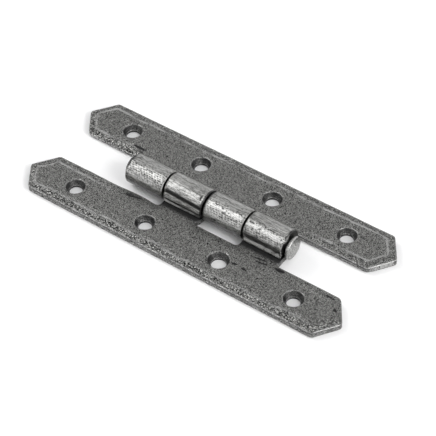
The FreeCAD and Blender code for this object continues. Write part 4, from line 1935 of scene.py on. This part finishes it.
@dataclass(frozen=True)
class Studio:
    """A pale floor under a soft sky, two softboxes and two lamps that wash the floor.

    Attributes:
        floor_size: Side of the floor, in metres.
        floor_colour: Its pale paint.
        floor_bounce: How much of the light it passes on to what lies near it.
        sky: Strength of the sky.
        near_sky: Strength of the sky low down on the -Y side.
        near_edge: Y of a direction where the near sky starts to end, and where it has.
        zenith: How much of the sky's strength is left high above.
        dim_towards: The middle of that dimmer part of the sky.
        dim_edge: Cosine from that middle where the dimmer part starts, and where it is full.
        lamps: The softboxes and the floor's lamps.
    """

    floor_size: float = 6.0
    floor_colour: Colour = (0.96, 0.96, 0.965, 1.0)
    floor_bounce: Colour = (0.40, 0.40, 0.405, 1.0)
    sky: float = 0.76
    near_sky: float = 1.0
    near_edge: Pair = (-0.95, -0.55)
    zenith: float = 0.42
    dim_towards: tuple[float, float, float] = (0.0, -0.34, 0.94)
    dim_edge: Pair = (0.78, 0.92)
    lamps: tuple[SoftLamp, ...] = (
        SoftLamp("front_softbox", (-0.414, -0.335, 0.848), 0.7, (0.28, 0.60), 2.4, LampUse.HIGHLIGHT),
        SoftLamp("right_softbox", (0.85, -0.12, 0.52), 0.9, (0.6, 0.6), 3.2),
        SoftLamp("right_wash", (0.77, 0.0, 0.55), 0.9, (0.4, 0.4), 4.5, LampUse.FLOOR),
        SoftLamp("left_wash", (-0.77, 0.02, 0.55), 0.9, (0.4, 0.4), 6.3, LampUse.FLOOR),
    )

    def build(self) -> None:
        """Lay the floor and hang the lights."""
        half = self.floor_size / 2.0
        mesh = bpy.data.meshes.new("floor")
        corners = [(-half, -half, 0.0), (half, -half, 0.0), (half, half, 0.0), (-half, half, 0.0)]
        mesh.from_pydata(corners, [], [(0, 1, 2, 3)])
        floor = bpy.data.objects.new("floor", mesh)
        bpy.context.scene.collection.objects.link(floor)
        mesh.materials.append(self.floor_paint())
        for lamp in self.lamps:
            lamp.hang()
        world = bpy.data.worlds.new("soft_sky")
        bpy.context.scene.world = world
        world.use_nodes = True
        world.node_tree.nodes.clear()
        weave = Weave(world.node_tree)
        split = weave.node("SeparateXYZ")
        place = weave.node("TexCoord").outputs["Generated"]
        weave.join(place, split.inputs[0])
        around = weave.spread(split.outputs["Y"], *self.near_edge, self.near_sky, self.sky)
        high = weave.node("VectorMath", {1: self.dim_towards}, operation="DOT_PRODUCT")
        weave.join(place, high.inputs[0])
        dimmed = weave.spread(high.outputs["Value"], *self.dim_edge, 1.0, self.zenith)
        strength = weave.math("MULTIPLY", around, dimmed)
        path = weave.node("LightPath")
        sky = weave.node("Background", {"Color": (1.0, 1.0, 1.0, 1.0)})
        weave.join(strength, sky.inputs["Strength"])
        seen = weave.node("Background", {"Color": (1.0, 1.0, 1.0, 1.0), "Strength": 1.0})
        mix = weave.node("MixShader")
        weave.join(path.outputs["Is Camera Ray"], mix.inputs[0])
        weave.join(sky.outputs[0], mix.inputs[1])
        weave.join(seen.outputs[0], mix.inputs[2])
        out = weave.node("OutputWorld")
        weave.join(mix.outputs[0], out.inputs["Surface"])

    def floor_paint(self) -> bpy.types.Material:
        """Pale matt paint that shows white to the camera and keeps the hinge's shadow.

        Returns:
            The material.
        """
        made = bpy.data.materials.new("floor_paint")
        made.use_nodes = True
        made.node_tree.nodes.clear()
        weave = Weave(made.node_tree)
        paint = weave.node("BsdfDiffuse")
        path = weave.node("LightPath")
        seen = weave.math("MAXIMUM", path.outputs["Is Camera Ray"], path.outputs["Is Glossy Ray"])
        seen = weave.math("MAXIMUM", seen, path.outputs["Is Transmission Ray"])
        weave.join(weave.blend(seen, self.floor_bounce, self.floor_colour), paint.inputs["Color"])
        out = weave.node("OutputMaterial")
        weave.join(paint.outputs[0], out.inputs["Surface"])
        return made


@dataclass(frozen=True)
class HighCamera:
    """The camera, looking down on the hinge from its front right.

    Attributes:
        azimuth: Degrees round from straight in front.
        elevation: Degrees above the floor.
        distance: From the point it looks at.
        focus: Focal length in pixels of the picture.
        aim: The point on the floor that it looks at.
        roll: Degrees that it leans.
    """

    azimuth: float = 36.485
    elevation: float = 45.826
    distance: float = 424.84
    focus: float = 1581.3
    aim: Pair = (2.65, 0.72)
    roll: float = -1.316

    def build(self) -> None:
        """Place the camera and make it the scene's own."""
        a, e, r = (math.radians(v) for v in (self.azimuth, self.elevation, self.roll))
        back = Vector((math.sin(a) * math.cos(e), -math.cos(a) * math.cos(e), math.sin(e)))
        right = Vector((math.cos(a), math.sin(a), 0.0))
        up = back.cross(right)
        leaned = right * math.cos(r) + up * math.sin(r)
        risen = up * math.cos(r) - right * math.sin(r)
        turned = Matrix((leaned, risen, back)).transposed().to_4x4()
        data = bpy.data.cameras.new("high_camera")
        data.sensor_width = SENSOR
        data.lens = self.focus / PHOTO_WIDTH * SENSOR
        camera = bpy.data.objects.new("high_camera", data)
        place = Vector((*self.aim, 0.0)) + back * self.distance
        camera.matrix_world = Matrix.Translation(place * MM) @ turned
        bpy.context.scene.collection.objects.link(camera)
        bpy.context.scene.camera = camera


def hole_row(middle: float, worn: Optional[tuple[int, float, float, float]] = None,
             from_pin: float = 13.25) -> tuple[ScrewHole, ...]:
    """Four screw holes in a row.

    Args:
        middle: Where the row's middle is along the leaf.
        worn: Which hole was opened out, how far it moved, and what its rim and bore gained.
        from_pin: The row's distance from the pin.

    Returns:
        The holes.
    """
    first = middle - 1.5 * HOLE_PITCH
    row = [ScrewHole(first + k * HOLE_PITCH, from_pin) for k in range(4)]
    if worn:
        which, moved, rim, bore = worn
        plain = row[which]
        row[which] = replace(plain, x=plain.x + moved, rim=plain.rim + rim, bore=plain.bore + bore)
    return tuple(row)


def knuckle_dent(x: float, turn: float, length: float, width: float, angle: float, depth: float,
                 soot: float) -> Dent:
    """A dent in a knuckle.

    Args:
        x: Middle, along the leaf in its own frame.
        turn: Degrees from the knuckle's top towards the world's -Y side.
        length: End to end.
        width: Side to side.
        angle: Degrees from the pin's direction to the dent's length.
        depth: At the middle.
        soot: How dark it is painted, by grime and by painted shade.

    Returns:
        The dent, with its place round the knuckle measured along the skin.
    """
    return Dent(x, math.radians(turn) * AXIS_HEIGHT, length, width, angle, depth, soot)


def back_leaf() -> ForgedLeaf:
    """The back leaf, whose knuckles are the first and the third from the left.

    Returns:
        The leaf, not yet built.
    """
    return ForgedLeaf(
        name="back_leaf", body="back", side=Side.BACK, tab_starts=(-24.93, 0.97),
        holes=hole_row(-0.1),
        dents=(
            Dent(-30.0, 8.9, 5.0, 1.15, -2.0, 0.26, 1.0),
            Dent(-28.6, 7.7, 1.4, 0.8, 10.0, 0.14, 0.8),
            Dent(-31.0, 6.35, 3.4, 0.7, -2.0, 0.14, 0.95),
            Dent(39.5, 14.7, 2.2, 0.7, -12.0, 0.10, 0.7),
        ),
        knuckle_dents=(
            knuckle_dent(4.3, 23.0, 0.6, 0.6, 0.0, 0.12, 0.9),
            knuckle_dent(6.4, 27.0, 0.6, 0.6, 0.0, 0.12, 0.9),
            knuckle_dent(7.2, 4.0, 14.0, 2.8, 0.0, 0.10, 0.0),
            knuckle_dent(-18.7, 1.0, 13.0, 2.8, 0.0, 0.07, 0.0),
        ),
        # A mark with no depth, which only paints a highlight on the third knuckle.
        roll_marks=(RollMark(2.0, 13.0, (4.0, 4.0), (13.0, 16.0), 0.0, 27.0, 0.0, 0.95),),
        # Painted shade on the knuckles' undersides.
        seed=101, worn_low=(1.0, 0.25), worn_high=(0.2, 0.2), soft_corner=2.2, under_soot=0.6,
        # Painted shade on the rims of the knuckle ends beside a gap.
        dark_rims=((-24.93, 1.0, 46.0), (-24.64, 1.0, 45.0), (0.97, 0.9, 180.0)),
        faded=((-27.0, 7.0, 3.8, 1.0),),
        bare_sides=((48.6, 9.7, 4.0, 1.0),), rough_sides=((-35.0, 6.2, 13.0, 1.0),),
        side_rows=(
            (0.06, 0.25, 0.3), (0.2, 0.9, 0.0), (0.45, 0.8, 0.0), (0.64, 0.0, 0.35), (0.85, 0.0, 0.5),
        ),
    )


def front_leaf() -> ForgedLeaf:
    """The front leaf: the same plate turned end for end, with the other two knuckles.

    Returns:
        The leaf, not yet built.
    """
    return ForgedLeaf(
        name="front_leaf", body="front", side=Side.FRONT, tab_starts=(-26.37, -0.47),
        holes=hole_row(-0.6, worn=(1, -0.35, 0.2, 0.15)),
        dents=(
            Dent(-28.0, 7.2, 3.4, 1.3, 2.0, 0.25, 1.0),
            Dent(-17.0, 12.0, 2.0, 0.8, 8.0, 0.14, 1.0),
            Dent(-20.1, 12.2, 1.8, 0.9, -8.0, 0.11, 1.0),
            Dent(-21.6, 6.9, 4.4, 0.6, 7.0, 0.10, 1.0),
            Dent(-22.6, 7.85, 4.1, 0.6, 9.0, 0.10, 1.0),
            Dent(-43.2, 7.55, 2.0, 0.8, 6.0, 0.16, 1.0),
            Dent(-44.6, 7.75, 1.4, 0.7, 14.0, 0.14, 1.0),
            Dent(-47.1, 10.7, 1.5, 0.8, -5.0, 0.12, 1.0),
            Dent(20.8, 7.3, 3.0, 1.5, 6.0, 0.20, 0.85),
            Dent(18.9, 7.0, 3.6, 0.8, 4.0, 0.15, 0.75),
            Dent(-11.2, 4.9, 4.0, 1.0, -20.0, 0.12, 0.6),
        ),
        roll_marks=(
            # The creases are painted dark as shade in them; the two marks with no depth only paint
            # highlights, on the lip of the second knuckle and along the fourth.
            RollMark(11.9, -0.3, (51.5, 58.5), (72.0, 77.0), 0.43, 30.0, 0.90, 0.2),
            RollMark(
                11.6, -0.2, (93.0, 98.0), (101.0, 106.0), 0.08, 8.0, 1.0, 0.0, lip=0.33, early=1.0
            ),
            RollMark(11.6, -0.2, (96.0, 101.0), (104.0, 109.0), 0.0, 10.0, 0.0, 0.95),
            RollMark(-13.9, -26.0, (6.0, 9.0), (15.0, 24.0), 0.0, 28.0, 0.0, 0.95),
            RollMark(
                -13.7, -23.2, (68.0, 78.0), (96.0, 96.0), 0.42, 18.0, 0.70, 0.0, lip=0.30, early=18.0
            ),
            RollMark(
                -23.2, -26.9, (70.0, 72.0), (96.0, 94.0), 0.28, 18.0, 0.42, 0.0, lip=0.30, early=18.0
            ),
        ),
        knuckle_dents=(
            knuckle_dent(0.72, 29.0, 2.2, 0.6, 90.0, 0.14, 0.9),
            knuckle_dent(-26.0, 19.0, 1.3, 0.8, 90.0, 0.25, 1.0),
            knuckle_dent(-25.2, 36.0, 0.6, 0.6, 0.0, 0.12, 0.9),
            knuckle_dent(-24.3, 12.0, 8.0, 2.8, 10.0, 0.20, 0.0),
            knuckle_dent(-20.1, 4.0, 13.0, 2.9, 0.0, 0.10, 0.0),
            knuckle_dent(3.6, 4.0, 9.0, 2.9, 0.0, 0.07, 0.0),
            knuckle_dent(-19.5, 58.0, 8.0, 0.9, 3.0, 0.06, 0.35),
            knuckle_dent(-15.6, 26.0, 2.6, 0.5, -4.0, 0.06, 0.8),
            knuckle_dent(-17.6, 12.0, 3.4, 0.5, 6.0, 0.06, 0.6),
            knuckle_dent(-21.4, 21.0, 3.0, 0.5, 3.0, 0.06, 0.7),
        ),
        seed=202, worn_low=(0.3, 0.3), worn_high=(0.85, 1.0), soft_corner=2.0,
        root_slants=(0.0, 0.8), knuckle_pits=(1.0, 0.2),
        raw_ends=((11.98, 103.0), (-0.47, 108.0), (-13.92, 98.0), (-26.37, 96.0)),
        ragged_end=((-60.0, 0.2), (8.0, 0.12), (21.0, -0.2), (29.0, -0.2), (42.0, 0.0), (50.0, 0.3)),
        # Painted shade on the rims of the knuckle ends beside a gap.
        dark_rims=((-26.37, 1.0, 8.0), (-0.47, 0.9, 180.0)),
        faded=((-31.0, 6.2, 9.0, 0.85), (-46.5, 9.0, 6.5, 0.8)),
        flat_crests=((-49.0, 15.0, 7.5, 1.0), (-45.0, 8.0, 5.0, 0.6)),
        drift=((19.0, 6.0, 0.42), (36.0, 8.0, 0.12)),
        bare_sides=((-48.6, 16.9, 4.0, 0.5),),
    )


def main() -> None:
    """Build the hinge, its light and its camera."""
    logging.basicConfig(level=logging.INFO, format="%(message)s")
    bpy.context.scene.view_settings.view_transform = "Standard"
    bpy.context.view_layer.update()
    leaf_steel = SteelFinish("leaf_steel_patina", "leaf_steel")
    pin_steel = SteelFinish(
        "pin_steel_plain", "pin_steel", patina=(0.34, 0.34, 0.33, 1.0), bare=(0.50, 0.50, 0.49, 1.0),
        rough=0.36, polished=0.24,
    )
    for leaf in (back_leaf(), front_leaf()):
        leaf.build(leaf_steel)
    HeadedPin().build(pin_steel)
    Studio().build()
    HighCamera().build()


if __name__ == "__main__":
    main()
